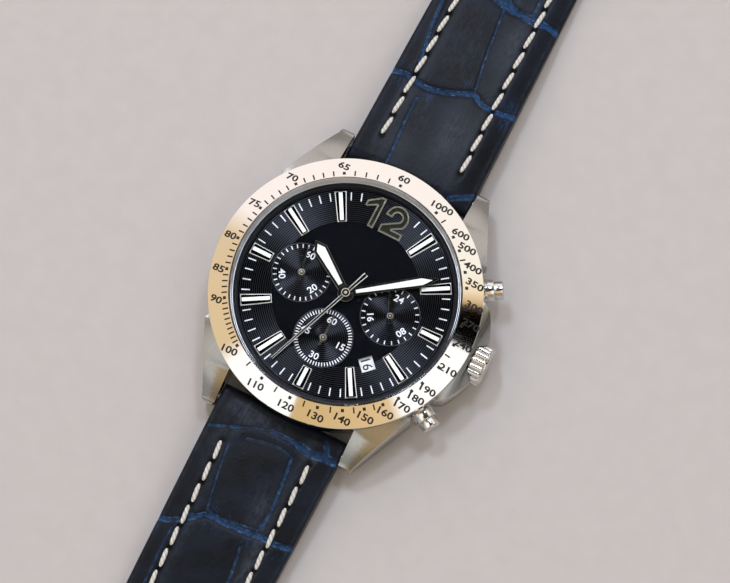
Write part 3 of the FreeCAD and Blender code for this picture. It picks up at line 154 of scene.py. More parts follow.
def tinted(tree: Tree, value: Socket, *stops: tuple[float, str]) -> Socket:
    """Turns a value from 0 to 1 into a colour, given as hex digits at some places."""
    ends = [(place, srgb(code)) for place, code in stops]
    return add(tree, "ValToRGB", {"Fac": value}, stops=ends).outputs["Color"]


def bump(tree: Tree, height: Socket, depth: float) -> Socket:
    """Turns a height from 0 to 1 into dents of one depth in metres."""
    return add(tree, "Bump", {"Height": height, "Strength": 1.0, "Distance": depth}).outputs[0]


def coating(tree: Tree, inputs: dict) -> Socket:
    """The shader of an opaque or clear surface, by its inputs' names."""
    return add(tree, "BsdfPrincipled", inputs).outputs[0]


# ---------------------------------------------------------------- finishes

class Finish:
    """A surface finish, whose kinds say how their shader is built."""

    name: str

    def shade(self, tree: Tree) -> Socket:
        """Builds the finish's nodes.

        Args:
            tree: the material's node tree.

        Returns:
            The shader.
        """
        raise NotImplementedError

    def material(self) -> Material:
        """Makes the finish's material.

        Returns:
            The material.
        """
        made = bpy.data.materials.new(self.name)
        made.use_nodes = True
        made.node_tree.nodes.clear()
        output = add(made.node_tree, "OutputMaterial")
        made.node_tree.links.new(self.shade(made.node_tree), output.inputs["Surface"])
        return made


class Grain(Enum):
    """How a metal surface was worked, as the stretch of its scratches along x, y and z."""

    POLISHED = (1.0, 1.0, 1.0)
    BRUSHED_ALONG = (1.0, 0.03, 1.0)
    BRUSHED_ACROSS = (0.03, 1.0, 1.0)


@dataclass(frozen=True)
class Metal(Finish):
    """A bare metal: stamped or turned, then polished, brushed or plated."""

    name: str
    colour: str
    roughness: float
    grain: Grain = Grain.POLISHED
    pitch: float = 0.6
    scratch: float = 0.002
    cloud: float = 5.0

    def shade(self, tree: Tree) -> Socket:
        """Builds the metal: its scratches move roughness and a fine bump.

        Args:
            tree: the material's node tree.

        Returns:
            The shader.
        """
        place = add(tree, "TexCoord").outputs["Object"]
        along = add(tree, "Mapping", {"Vector": place, "Scale": self.grain.value}).outputs["Vector"]
        lines = noise(tree, along, self.pitch, Detail=6.0, Roughness=0.62)
        both = reckon(tree, "ADD", lines, noise(tree, place, self.cloud, Detail=3.0))
        rough = span(tree, both, 0.7, 1.3, self.roughness * 0.75, self.roughness * 1.3)
        dents = bump(tree, lines, self.scratch * MM)
        return coating(tree, {"Base Color": srgb(self.colour), "Metallic": 1.0, "Roughness": rough,
                              "Normal": dents})


@dataclass(frozen=True)
class Paint(Finish):
    """A coat of ink, paint or plain plastic with a faint grain."""

    name: str
    colour: str
    shadow: str
    roughness: float
    pitch: float = 0.25
    grain: float = 0.004

    def shade(self, tree: Tree) -> Socket:
        """Builds the coat: two near shades in a fine grain.

        Args:
            tree: the material's node tree.

        Returns:
            The shader.
        """
        grain = noise(tree, add(tree, "TexCoord").outputs["Object"], self.pitch, Detail=4.0)
        tint = tinted(tree, grain, (0.35, self.shadow), (0.65, self.colour))
        return coating(tree, {"Base Color": tint, "Roughness": self.roughness,
                              "Normal": bump(tree, grain, self.grain * MM)})


@dataclass(frozen=True)
class DialLacquer(Finish):
    """Stamped brass under thin blue-black lacquer, turned with fine rings that catch the light in fans; the
    rings have no relief, and their lighter crests and darker grooves are painted light and shade in the
    metal's colour.
    """

    name: str = "ringed_dial_lacquer"
    crest: str = "303135"
    groove: str = "05070A"
    plain: str = "04060B"
    plain_radius: float = 10.85
    ring_pitch: float = 0.3
    counter_radius: float = 4.35
    counters: tuple[Point, ...] = ((7.2, 0.0), (-7.2, 0.0), (0.0, -7.2))

    def away(self, tree: Tree, place: Socket, at: Point) -> Socket:
        """The flat vector in millimetres from an upright axis."""
        from_axis = vector(tree, "SUBTRACT", place, (at[0] * MM, at[1] * MM, 0))
        return vector(tree, "MULTIPLY", from_axis, (1 / MM, 1 / MM, 0))

    def shade(self, tree: Tree) -> Socket:
        """Builds the lacquer: rings outside the plain disc and round each counter's centre.

        Args:
            tree: the material's node tree.

        Returns:
            The shader.
        """
        place = add(tree, "TexCoord").outputs["Object"]
        spoke = self.away(tree, place, (0.0, 0.0))
        radius = vector(tree, "LENGTH", spoke)
        ringed = reckon(tree, "GREATER_THAN", radius, self.plain_radius)
        for at in self.counters:
            near = self.away(tree, place, at)
            length = vector(tree, "LENGTH", near)
            inside = reckon(tree, "LESS_THAN", length, self.counter_radius)
            spoke = add(tree, "Mix", {0: inside, 4: spoke, 5: near}, data_type="VECTOR").outputs[1]
            radius = add(tree, "Mix", {0: inside, 2: radius, 3: length}).outputs[0]
            ringed = reckon(tree, "MAXIMUM", ringed, inside)
        # The rings have no relief: lighter crests and darker grooves of one metal are painted light and
        # shade.
        wave = reckon(tree, "SINE", reckon(tree, "MULTIPLY", radius, 2 * math.pi / self.ring_pitch))
        rings = tinted(tree, span(tree, wave, -1.0), (0.45, self.groove), (0.9, self.crest))
        turned = coating(tree, {"Base Color": rings, "Metallic": 1.0, "Roughness": 0.32, "Anisotropic": 0.95,
                                "Tangent": vector(tree, "NORMALIZE", spoke)})
        smooth_coat = coating(tree, {"Base Color": srgb(self.plain), "Roughness": 0.12,
                                     "Specular IOR Level": 0.25})
        return add(tree, "MixShader", {0: ringed, 1: smooth_coat, 2: turned}).outputs[0]


@dataclass(frozen=True)
class SunkNumeral(Finish):
    """Diamond-cut steel figures: a bright raised edge round a darker sunk face."""

    name: str = "cut_steel_numeral"
    edge: str = "5E5A4D"
    face: str = "1C1B15"
    face_z: float = 7.86

    def shade(self, tree: Tree) -> Socket:
        """Builds the figures' metal, whose colour follows the height.

        Args:
            tree: the material's node tree.

        Returns:
            The shader.
        """
        place = add(tree, "TexCoord").outputs["Object"]
        height = add(tree, "SeparateXYZ", {0: place}).outputs["Z"]
        up = add(tree, "SeparateXYZ", {0: add(tree, "NewGeometry").outputs["Normal"]}).outputs["Z"]
        low = reckon(tree, "LESS_THAN", height, self.face_z * MM)
        sunk = reckon(tree, "MULTIPLY", low, reckon(tree, "GREATER_THAN", up, 0.5))
        tint = over(tree, srgb(self.edge), sunk, srgb(self.face))
        rough = span(tree, noise(tree, place, 0.3), low=0.3, high=0.42)
        return coating(tree, {"Base Color": tint, "Metallic": 1.0, "Roughness": rough})


@dataclass(frozen=True)
class LinedNeedle(Finish):
    """The seconds needle: black-nickel plated, with a pale, rough line painted along each long edge as a
    highlight.
    """

    name: str = "needle_with_painted_edge_highlights"
    core: str = "12110F"
    line: str = "96928A"
    turn: float = 201.0
    core_half: float = 0.135
    taper: float = 0.0035

    def shade(self, tree: Tree) -> Socket:
        """Builds the needle's metal, whose colour follows the distance from its midline.

        Args:
            tree: the material's node tree.

        Returns:
            The shader.
        """
        place = add(tree, "TexCoord").outputs["Object"]
        east, north = clock(1 / MM, self.turn)
        along = vector(tree, "DOT_PRODUCT", place, (east, north, 0.0))
        off = reckon(tree, "ABSOLUTE", vector(tree, "DOT_PRODUCT", place, (north, -east, 0.0)))
        drift = reckon(tree, "MULTIPLY_ADD", along, self.taper, off)
        # Past the core the metal turns pale and rough: painted highlight lines along the needle's edges.
        edge = reckon(tree, "GREATER_THAN", drift, self.core_half)
        tint = over(tree, srgb(self.core), edge, srgb(self.line))
        rough = span(tree, edge, low=0.22, high=0.48)
        return coating(tree, {"Base Color": tint, "Metallic": 1.0, "Roughness": rough})


@dataclass(frozen=True)
class MineralGlass(Finish):
    """Hardened mineral glass, ground and polished: clear, with an anti-glare coat that dims its mirror."""

    name: str = "polished_mineral_glass"
    index: float = 1.3

    def shade(self, tree: Tree) -> Socket:
        """Builds the glass; lamps light the dial straight through it.

        Args:
            tree: the material's node tree.

        Returns:
            The shader.
        """
        glass = coating(tree, {"Base Color": grey(0.98), "Roughness": 0.0, "IOR": self.index,
                               "Transmission Weight": 1.0})
        clear = add(tree, "BsdfTransparent", {"Color": grey(0.94)}).outputs[0]
        shadow = add(tree, "LightPath").outputs["Is Shadow Ray"]
        return add(tree, "MixShader", {0: shadow, 1: glass, 2: clear}).outputs[0]


@dataclass(frozen=True)
class Leather(Finish):
    """Waxed calf, embossed with scales: fine pores, folds where the dye shows with a painted highlight along
    their edges, thread holes painted dark as shade, and lighter grey places that are partly rubbed wear and
    partly painted sheen.
    """

    name: str
    dark: str
    light: str
    dye: str
    glint: str
    rub: str
    roughness: float = 0.42
    pore: float = 0.42
    # Near black painted into the thread holes as their shade.
    pit: str = "020203"

    def spots(self, tree: Tree, place: Socket, wide: float, long: float, detail: float, low: float,
              high: float) -> Socket:
        """Cloudy spots, cut to a range.

        Args:
            tree: the node tree.
            place: the surface point in metres.
            wide: the spots' width in millimetres.
            long: the spots' length in millimetres.
            detail: the noise's octaves.
            low: the noise value that becomes 0.
            high: the noise value that becomes 1.

        Returns:
            The socket that holds the value.
        """
        scaled = vector(tree, "MULTIPLY", place, (1 / wide / MM, 1 / long / MM, 1 / wide / MM))
        cloud = add(tree, "TexNoise", {"Vector": scaled, "Scale": 1.0, "Detail": detail, "Roughness": 0.62})
        return span(tree, cloud.outputs["Fac"], low, high)

    def shade(self, tree: Tree) -> Socket:
        """Builds the leather from the mesh's fold, dye, wear-and-sheen, hole and hatch values.

        Args:
            tree: the material's node tree.

        Returns:
            The shader.
        """
        place = add(tree, "TexCoord").outputs["Object"]
        fold, dye, wear, hole, hatch = (add(tree, "Attribute", attribute_name=name).outputs["Fac"]
                                        for name in ("fold", "dye", "wear", "hole", "hatch"))

        def band(centre: float, reach: float) -> Socket:
            """A soft band at one distance from the folds."""
            off = reckon(tree, "ABSOLUTE", reckon(tree, "SUBTRACT", ragged, centre))
            return span(tree, off, reach, 0.0, interpolation_type="SMOOTHSTEP")

        def times(first: Socket, *factors: Socket | float) -> Socket:
            """The product of some values.

            Args:
                first: the first value.
                factors: the others.

            Returns:
                The socket that holds the product.
            """
            for factor in factors:
                first = reckon(tree, "MULTIPLY", first, factor)
            return first

        shake = self.spots(tree, place, 0.7, 0.7, 4.0, 0.0, 1.0)
        ragged = reckon(tree, "SUBTRACT", reckon(tree, "MULTIPLY_ADD", shake, 0.8, fold), 0.4)
        fading = self.spots(tree, place, 1.6, 1.6, 4.0, 0.28, 0.62)
        mottle = self.spots(tree, place, 5.0, 5.0, 6.0, 0.0, 1.0)
        strokes = times(self.spots(tree, place, 0.22, 1.5, 3.0, 0.5, 0.62),
                        self.spots(tree, place, 2.6, 9.0, 2.0, 0.5, 0.66))
        streaks = self.spots(tree, place, 0.5, 1.3, 6.0, 0.28, 0.72)
        highlight_spots = self.spots(tree, place, 0.7, 0.7, 4.0, 0.45, 0.7)
        base = tinted(tree, mottle, (0.36, self.dark), (0.66, self.light))
        # Layers over the mottled base: hatch strokes and fold dye are the leather's own colour, the
        # wear-and-sheen tint is partly painted sheen, the lighter blue line along the folds' edges is a
        # painted highlight, and the thread holes are painted near black as shade.
        for share, colour in ((times(strokes, hatch, 0.6), self.dye), (times(wear, streaks), self.rub),
                              (times(band(0.0, 1.25), dye, fading), self.dye),
                              (times(band(0.7, 0.4), dye, highlight_spots), self.glint), (hole, self.pit)):
            base = over(tree, base, share, srgb(colour))
        pores = add(tree, "TexVoronoi", {"Vector": place, "Scale": 1 / (self.pore * MM)}, feature="SMOOTH_F1")
        grain = times(reckon(tree, "ADD", pores.outputs[0], shake), 0.022)
        creased = reckon(tree, "MULTIPLY_ADD", times(band(0.0, 0.9), dye), -0.05, grain)
        scuffed = reckon(tree, "MULTIPLY_ADD", times(wear, streaks), 0.02, creased)
        rough = span(tree, streaks, low=self.roughness - 0.06, high=self.roughness + 0.1)
        return coating(tree, {"Base Color": base, "Roughness": rough, "Specular IOR Level": 0.16,
                              "Normal": bump(tree, scuffed, MM)})


@dataclass(frozen=True)
class Thread(Finish):
    """Waxed two-ply linen thread: its plies wind at a slant."""

    name: str = "waxed_linen_thread"
    colour: str = "E6E4DE"
    shadow: str = "C6C3BA"
    ply: float = 0.62
    slant: float = 38.0
    relief: float = 0.09

    def shade(self, tree: Tree) -> Socket:
        """Builds the thread with a slanting band for each ply.

        Args:
            tree: the material's node tree.

        Returns:
            The shader.
        """
        turned = add(tree, "Mapping", {"Vector": add(tree, "TexCoord").outputs["Object"],
                                       "Rotation": (0.0, 0.0, math.radians(self.slant))}).outputs["Vector"]
        bands = add(tree, "TexWave", {"Vector": turned, "Scale": 1 / (self.ply * MM) / 3.2, "Distortion": 0.6,
                                      "Detail": 2.0}, bands_direction="Y").outputs["Fac"]
        tint = tinted(tree, bands, (0.1, self.shadow), (0.55, self.colour))
        return coating(tree, {"Base Color": tint, "Roughness": 0.62,
                              "Normal": bump(tree, bands, self.relief * MM)})


# Steel buffed on a soft wheel: it mirrors the room with a slight haze.
POLISHED = Metal("polished_316L_steel", "DAD8D4", 0.14, scratch=0.001)
# The bezel's cone is buffed to a sharper mirror than the rest of the case.
BEZEL = Metal("buffed_316L_bezel", "E2DFDB", 0.07, scratch=0.001)
# Lug and guard tops are drawn over a belt, which leaves fine straight lines.
BRUSHED = Metal("belt_brushed_316L_steel", "A09E9A", 0.27, Grain.BRUSHED_ALONG, pitch=0.15, scratch=0.002)
# Case back: lathe-turned and lightly blasted.
BACK = Metal("blasted_316L_back", "A9A8A6", 0.36, pitch=0.2, scratch=0.012)
# The sloping ring inside the glass is rhodium plated over a satin ground.
RHODIUM = Metal("rhodium_plated_flange", "F2F3F4", 0.38, pitch=0.3, scratch=0.0004)
# The flange's lowest steps are lacquered black like the dial they meet.
FLANGE_FOOT = Paint("black_lacquered_flange_foot", "12141A", "0C0E13", 0.3)
# The hands are black-nickel plated, a dark and slightly warm mirror.
NICKEL = Metal("black_nickel_plating", "2C2A26", 0.22, pitch=0.3, scratch=0.0005)
# The markers' sloping sides have the same plating over a sharper polish.
FACET = Metal("black_nickel_marker_facets", "141413", 0.16, pitch=0.3, scratch=0.0005)
# The hands' bevelled edges get a pale, rough steel, so that a soft pale outline shows from every side: a
# painted highlight.
EDGE = Metal("hand_bevels_with_painted_highlight", "8F8B7E", 0.5, pitch=0.3, scratch=0.0005)
# The markers' flat feet get a pale, rough steel that rings each marker with a thin line, bright from every
# side: a painted highlight.
RIM = Metal("marker_rims_with_painted_highlight", "B9B5AA", 0.48, pitch=0.3, scratch=0.0005)
# The markers' top edges get a near-white, rough steel, so that they look bright from every side: a painted
# highlight where cut edges would flash.
BRIGHT = Metal("marker_edges_with_painted_highlight", "E9E6DE", 0.5, pitch=0.3, scratch=0.0005)
# The caps on the hands' arbors are turned, and glint as small warm rings.
HUB = Metal("turned_steel_hubs", "A79F8B", 0.4, pitch=0.2, scratch=0.0005)
# Tempered steel of bars, stems and springs is duller and greyer than the case.
SPRING = Metal("tempered_spring_steel", "9B9B9D", 0.3, Grain.BRUSHED_ACROSS, pitch=0.3, scratch=0.01)
# Pressed and gilt brass plates have a soft yellow sheen.
BRASS_PLATE = Metal("gilt_pressed_brass", "C9A55C", 0.34, pitch=0.5, scratch=0.01)
# Cut wheels keep the cutter's lines and look brighter than the plates.
BRASS_WHEEL = Metal("cut_brass_wheels", "D1AC5E", 0.26, Grain.BRUSHED_ALONG, pitch=0.2, scratch=0.01)
# The coils' fine turns show as deep reddish lines.
COPPER = Metal("enamelled_copper_wire", "A85A2C", 0.3, Grain.BRUSHED_ALONG, pitch=0.15, scratch=0.05)
# Annealed cores are plain grey and nearly matt.
IRON = Metal("annealed_soft_iron", "8C8C90", 0.42, pitch=0.4, scratch=0.01)
# The cell's can is a pale, evenly hazed metal.
CELL = Metal("nickel_plated_cell_can", "BDBDBE", 0.3, pitch=0.4, scratch=0.01)
# Zinc-sulphide lume is a chalky paint.
LUME = Paint("chalky_lume_paint", "F2F4F4", "E4E6E6", 0.6, 0.2)
# Pad-printed ink on the dial is thin and slightly glossy.
DIAL_INK = Paint("white_pad_print_ink", "E6E7E8", "CDCFD3", 0.5)
# The rims round the counters are lacquered like the dial and show as thin dark lines.
COUNTER_RIM = Paint("black_counter_rim", "11141C", "0B0D14", 0.3)
# Baked enamel fills the cut scale with a near black that stays readable on bright steel.
SCALE_FILL = Paint("black_enamel_scale_fill", "0E0D0D", "050505", 0.4)
# The date is printed in flat black, with no gleam.
DATE_INK = Paint("black_date_ink", "101010", "060606", 0.5)
# The date ring's flat white paint is the brightest plain patch inside the glass.
DATE_PAINT = Paint("white_date_disc_paint", "F0F0EE", "E2E2DF", 0.5)
# The ring that centres the works is an off-white moulding.
NYLON = Paint("moulded_nylon_ring", "DDDDD9", "CFCFCB", 0.48)
# A matt painted floor, pale and even, so that only the watch draws the eye.
FLOOR = Paint("pale_matt_floor", "C8C4C3", "C5C1C0", 0.85, 3.0, 0.0)
# Waxed navy calf looks almost black, with blue dye in its folds, a painted lighter-blue highlight along their
# edges, and grey places that are partly rubbed wear and partly painted sheen.
NAVY = Leather("waxed_navy_calf", "080B11", "141B29", "204878", "4F7BA8", "434A57")
# The lining is undyed calf: brown, matt and coarser.
LINING = Leather("natural_lining_calf", "3A2A20", "4A372B", "2C2019", "5C4636", "6A5242", 0.6, 0.7)


# ---------------------------------------------------------------- modelling helpers

def deselect() -> None:
    """Leaves object mode's selection empty, with nothing active."""
    if bpy.context.object and bpy.context.object.mode != "OBJECT":
        bpy.ops.object.mode_set(mode="OBJECT")
    bpy.ops.object.select_all(action="DESELECT")
    bpy.context.view_layer.objects.active = None


def pick(*pieces: Piece) -> None:
    """Selects only these pieces and makes the first active.

    Args:
        pieces: the pieces to select.
    """
    deselect()
    for piece in pieces:
        piece.select_set(True)
    bpy.context.view_layer.objects.active = pieces[0]


@contextmanager
def editing(piece: Piece) -> Iterator[None]:
    """Edits a whole mesh: all of it is selected in edit mode, which ends with the block.

    Args:
        piece: the piece.

    Yields:
        Nothing, while the mesh is open.
    """
    pick(piece)
    bpy.ops.object.mode_set(mode="EDIT")
    bpy.ops.mesh.select_all(action="SELECT")
    yield
    bpy.ops.object.mode_set(mode="OBJECT")


def moved(x: float, y: float, z: float = 0.0) -> Matrix:
    """A move by millimetres, as a matrix in metres."""
    return Matrix.Translation((x * MM, y * MM, z * MM))


def settle(name: str) -> Piece:
    """Names the active object and moves its place into its mesh.

    Args:
        name: the piece's name.

    Returns:
        The piece.
    """
    piece = bpy.context.object
    piece.name = piece.data.name = name
    pick(piece)
    bpy.ops.object.transform_apply(location=True, rotation=True, scale=True)
    return piece


def close_up(piece: Piece, gap: float = 0.0005) -> None:
    """Merges a piece's doubles and turns its faces outwards.

    Args:
        piece: the piece.
        gap: the widest gap to merge, in millimetres.
    """
    with editing(piece):
        bpy.ops.mesh.remove_doubles(threshold=gap * MM)
        bpy.ops.mesh.normals_make_consistent(inside=False)


def smooth(piece: Piece, degrees: float = 35.0) -> None:
    """Shades a piece smooth, with its sharp edges kept.

    Args:
        piece: the piece.
        degrees: the angle past which an edge stays sharp.
    """
    pick(piece)
    bpy.ops.object.shade_smooth_by_angle(angle=math.radians(degrees), keep_sharp_edges=False)


def modify(piece: Piece, kind: str, **settings: object) -> None:
    """Adds one modifier to a piece and applies it.

    Args:
        piece: the piece.
        kind: the modifier's type.
        settings: the modifier's settings.
    """
    pick(piece)
    made = piece.modifiers.new(kind.title(), kind)
    for key, value in settings.items():
        setattr(made, key, value)
    bpy.ops.object.modifier_apply(modifier=made.name)


def bevel(piece: Piece, width: float, segments: int = 2, degrees: float = 30.0, slot: int = -1) -> None:
    """Rounds a piece's sharp edges.

    Args:
        piece: the piece.
        width: the bevel's width in millimetres.
        segments: how many faces cross it.
        degrees: the angle past which an edge is rounded.
        slot: the material slot that the bevel's faces get, or -1 for their neighbours'.
    """
    modify(piece, "BEVEL", width=width * MM, segments=segments, limit_method="ANGLE",
           angle_limit=math.radians(degrees), material=slot, use_clamp_overlap=True)


def block(name: str, low: Sequence[float], high: Sequence[float]) -> Piece:
    """A box between two corners.

    Args:
        name: the piece's name.
        low: the lowest corner.
        high: the highest corner.

    Returns:
        The box.
    """
    deselect()
    middle = [(a + b) / 2 * MM for a, b in zip(low, high)]
    bpy.ops.mesh.primitive_cube_add(size=1.0, location=middle)
    bpy.context.object.scale = [(b - a) * MM for a, b in zip(low, high)]
    return settle(name)


def lathe(name: str, profile: Sequence[Point], segments: int = 192) -> Piece:
    """A closed solid turned about the hands' axis: a circle is drawn out and sized step by step.

    Args:
        name: the piece's name.
        profile: its radius and height at each corner.
        segments: how many sides a circle gets.

    Returns:
        The solid.
    """
    deselect()
    radius, height = profile[0]
    bpy.ops.mesh.primitive_circle_add(vertices=segments, radius=radius * MM, location=(0, 0, height * MM))
    with editing(bpy.context.object):
        for wide, high in [*profile[1:], profile[0]]:
            share = wide / radius
            bpy.ops.mesh.extrude_edges_move(TRANSFORM_OT_translate={"value": (0, 0, (high - height) * MM)})
            bpy.ops.transform.resize(value=(share, share, 1.0))
            radius, height = wide, high
    piece = settle(name)
    close_up(piece)
    return piece


def repeat(pattern: Piece, name: str, places: Iterable[Matrix]) -> Piece:
    """Copies a pattern to each place and joins the copies.

    Args:
        pattern: the piece that repeats; it is used up.
        name: the joined piece's name.
        places: a matrix for each copy, in metres.

    Returns:
        The joined piece.
    """
    copies = []
    for place in places:
        copy = bpy.data.objects.new(name, pattern.data.copy())
        copy.data.transform(place)
        bpy.context.scene.collection.objects.link(copy)
        copies.append(copy)
    bpy.data.objects.remove(pattern)
    return join(name, copies)


def join(name: str, pieces: Sequence[Piece]) -> Piece:
    """Joins pieces into one.

    Args:
        name: the joined piece's name.
        pieces: the pieces.

    Returns:
        The joined piece.
    """
    pick(*pieces)
    if len(pieces) > 1:
        bpy.ops.object.join()
    piece = bpy.context.object
    piece.name = piece.data.name = name
    return piece


def likeness(node: str, name: str, width: float, segments: int = 2, degrees: float = 30.0,
             finishes: Sequence[Material] = ()) -> Piece:
    """A copy of a CAD node with merged corners and rounded edges, which stands for it.

    Args:
        node: the node.
        name: the copy's name.
        width: the bevel's width in millimetres.
        segments: how many faces cross the bevel.
        degrees: the angle past which an edge is rounded.
        finishes: the faces' material and, if there is one, the edges' own.

    Returns:
        The copy.
    """
    piece = bpy.data.objects.new(name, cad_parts[node].data.copy())
    coat(piece, *finishes)
    bpy.context.scene.collection.objects.link(piece)
    close_up(piece)
    with editing(piece):
        bpy.ops.mesh.dissolve_limited(angle_limit=math.radians(0.6))
    bevel(piece, width, segments, degrees, 1 if len(finishes) > 1 else -1)
    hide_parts(node)
    return piece


def coat(piece: Piece, *finishes: Material) -> None:
    """Gives a piece its materials in place of those it had.

    Args:
        piece: the piece.
        finishes: its materials, in slot order.
    """
    piece.data.materials.clear()
    for finish in finishes:
        piece.data.materials.append(finish)


def sort_faces(piece: Piece, second: Callable[[bpy.types.MeshPolygon], bool]) -> None:
    """Gives each face the piece's first finish, or its second.

    Args:
        piece: the piece.
        second: says whether a face gets the second finish.
    """
    for face in piece.data.polygons:
        face.material_index = int(second(face))


def seat(piece: Piece, body: str, slot: str, *finishes: Material, degrees: float = 35.0) -> None:
    """Finishes a piece: its shading, its materials and its body.

    Args:
        piece: the piece.
        body: the body it rides on.
        slot: not used.
        finishes: its materials, unless it has them already.
        degrees: the angle past which an edge stays sharp.
    """
    smooth(piece, degrees)
    if finishes:
        coat(piece, *finishes)
    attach(piece, body)
    log.info("%s rides on %s, %d faces", piece.name, body, len(piece.data.polygons))


def clock(radius: float, degrees: float) -> Point:
    """A place by its distance from the centre and its angle clockwise from 12.

    Args:
        radius: the distance.
        degrees: the angle.

    Returns:
        Its x and y.
    """
    a = math.radians(degrees)
    return radius * math.sin(a), radius * math.cos(a)


def hand_turn(degrees: float, at: Point = (0.0, 0.0)) -> Matrix:
    """Turns a piece drawn at 12 o'clock to another angle.

    Args:
        degrees: the angle clockwise from 12.
        at: the centre that it turns about, where the drawing's origin goes.

    Returns:
        The matrix, in metres.
    """
    return moved(*at) @ Matrix.Rotation(-math.radians(degrees), 4, "Z")


def figure(text: str, height: float, at: Point, tilt: float = 0.0, stretch: float = 1.0, weight: float = 0.02,
           thickness: float = 0.012) -> Piece:
    """Flat type, centred on a place.

    Args:
        text: the figures.
        height: their height in millimetres.
        at: the centre's x and y.
        tilt: the turn clockwise, in degrees.
        stretch: the width against the type's own.
        weight: how far the strokes are thickened.
        thickness: how high the ink stands.

    Returns:
        The type as a mesh whose foot is at z = 0.
    """
    deselect()
    bpy.ops.object.text_add()
    made = bpy.context.object
    made.data.body = text
    made.data.align_x = "CENTER"
    made.data.size = 1.0
    made.data.resolution_u = 3
    made.data.offset = weight / height * 0.7
    bpy.ops.object.convert(target="MESH")
    made = bpy.context.object
    xs = [v.co.x for v in made.data.vertices]
    ys = [v.co.y for v in made.data.vertices]
    scale = height / (max(ys) - min(ys)) * MM
    centre = Vector(((max(xs) + min(xs)) / 2, (max(ys) + min(ys)) / 2, 0))
    made.data.transform(Matrix.Diagonal((scale * stretch, scale, scale, 1)) @ Matrix.Translation(-centre))
    made.data.transform(hand_turn(tilt, at))
    modify(made, "SOLIDIFY", thickness=thickness * MM, offset=1.0)
    return made


def lift(piece: Piece, height: float | Callable[[np.ndarray, np.ndarray], np.ndarray]) -> None:
    """Lays a flat piece on a surface.

    Args:
        piece: the piece, whose foot is at z = 0.
        height: the surface's height in millimetres, or a rule that gives it at any x and y.
    """
    places = np.empty(len(piece.data.vertices) * 3)
    piece.data.vertices.foreach_get("co", places)
    places = places.reshape(-1, 3)
    rise = height(places[:, 0] / MM, places[:, 1] / MM) if callable(height) else height
    places[:, 2] += rise * MM
    piece.data.vertices.foreach_set("co", places.ravel())
    piece.data.update()


# ---------------------------------------------------------------- case

@dataclass
class Scale:
    """The dark scale on the bezel's cone: ticks, dots and upright numerals."""

    inner: float = 16.86
    top: float = 10.4
    outer: float = 20.0
    edge: float = 9.1
    ink: float = 0.02
    sunk: float = 0.004
    tick_half: float = 0.11
    tick_span: Point = (17.1, 17.92)
    dot_half: float = 0.22
    dot_radius: float = 17.5
    numeral_radius: float = 18.72
    numeral_height: float = 1.05
    slanted: tuple[int, ...] = (210, 240, 270, 300, 350, 400)
    slant: float = 1.8
    numbered: tuple[int, ...] = (
        *range(60, 91, 5), *range(100, 191, 10), *range(210, 301, 30), 350, 400, 500, 600, 1000,
    )
    ticked: tuple[int, ...] = (*range(95, 156, 10), 225, 255, 450, 800)

    def angle(self, value: float) -> float:
        """Where a speed stands, clockwise from 12: once round for 60 units an hour."""
        return 60 * 360.0 / value

    def surface(self, x: np.ndarray, y: np.ndarray) -> np.ndarray:
        """The cone's height, less what the ink sinks into it."""
        slope = (self.top - self.edge) / (self.outer - self.inner)
        return self.top - (np.hypot(x, y) - self.inner) * slope - self.sunk

    def ticks(self) -> list[Piece]:
        """Builds the fine ticks between the numbered values, and a square dot at each of those.

        Returns:
            The two joined pieces.
        """
        values = [v for v in range(61, 100) if v % 5] + list(self.ticked)
        (start, end), half, middle = self.tick_span, self.dot_half, self.dot_radius
        tick = block("tick", (-self.tick_half, start, 0), (self.tick_half, end, self.ink))
        dot = block("dot", (-half, middle - half, 0), (half, middle + half, self.ink))
        return [repeat(tick, "bezel_ticks", [hand_turn(self.angle(v)) for v in values]),
                repeat(dot, "bezel_dots", [hand_turn(self.angle(v)) for v in self.numbered])]

    def build(self, fill: Material) -> None:
        """Builds the whole scale on the bezel.

        Args:
            fill: the enamel in the cut figures.
        """
        turns = {v: self.angle(v) - (self.slant if v in self.slanted else 0.0) for v in self.numbered}
        figures = [figure(str(v), self.numeral_height, clock(self.numeral_radius, turn), stretch=1.32,
                          weight=0.04, thickness=self.ink) for v, turn in turns.items()]
        for piece in [*self.ticks(), join("bezel_numerals", figures)]:
            lift(piece, self.surface)
            seat(piece, "case", "bezel_steel", fill)


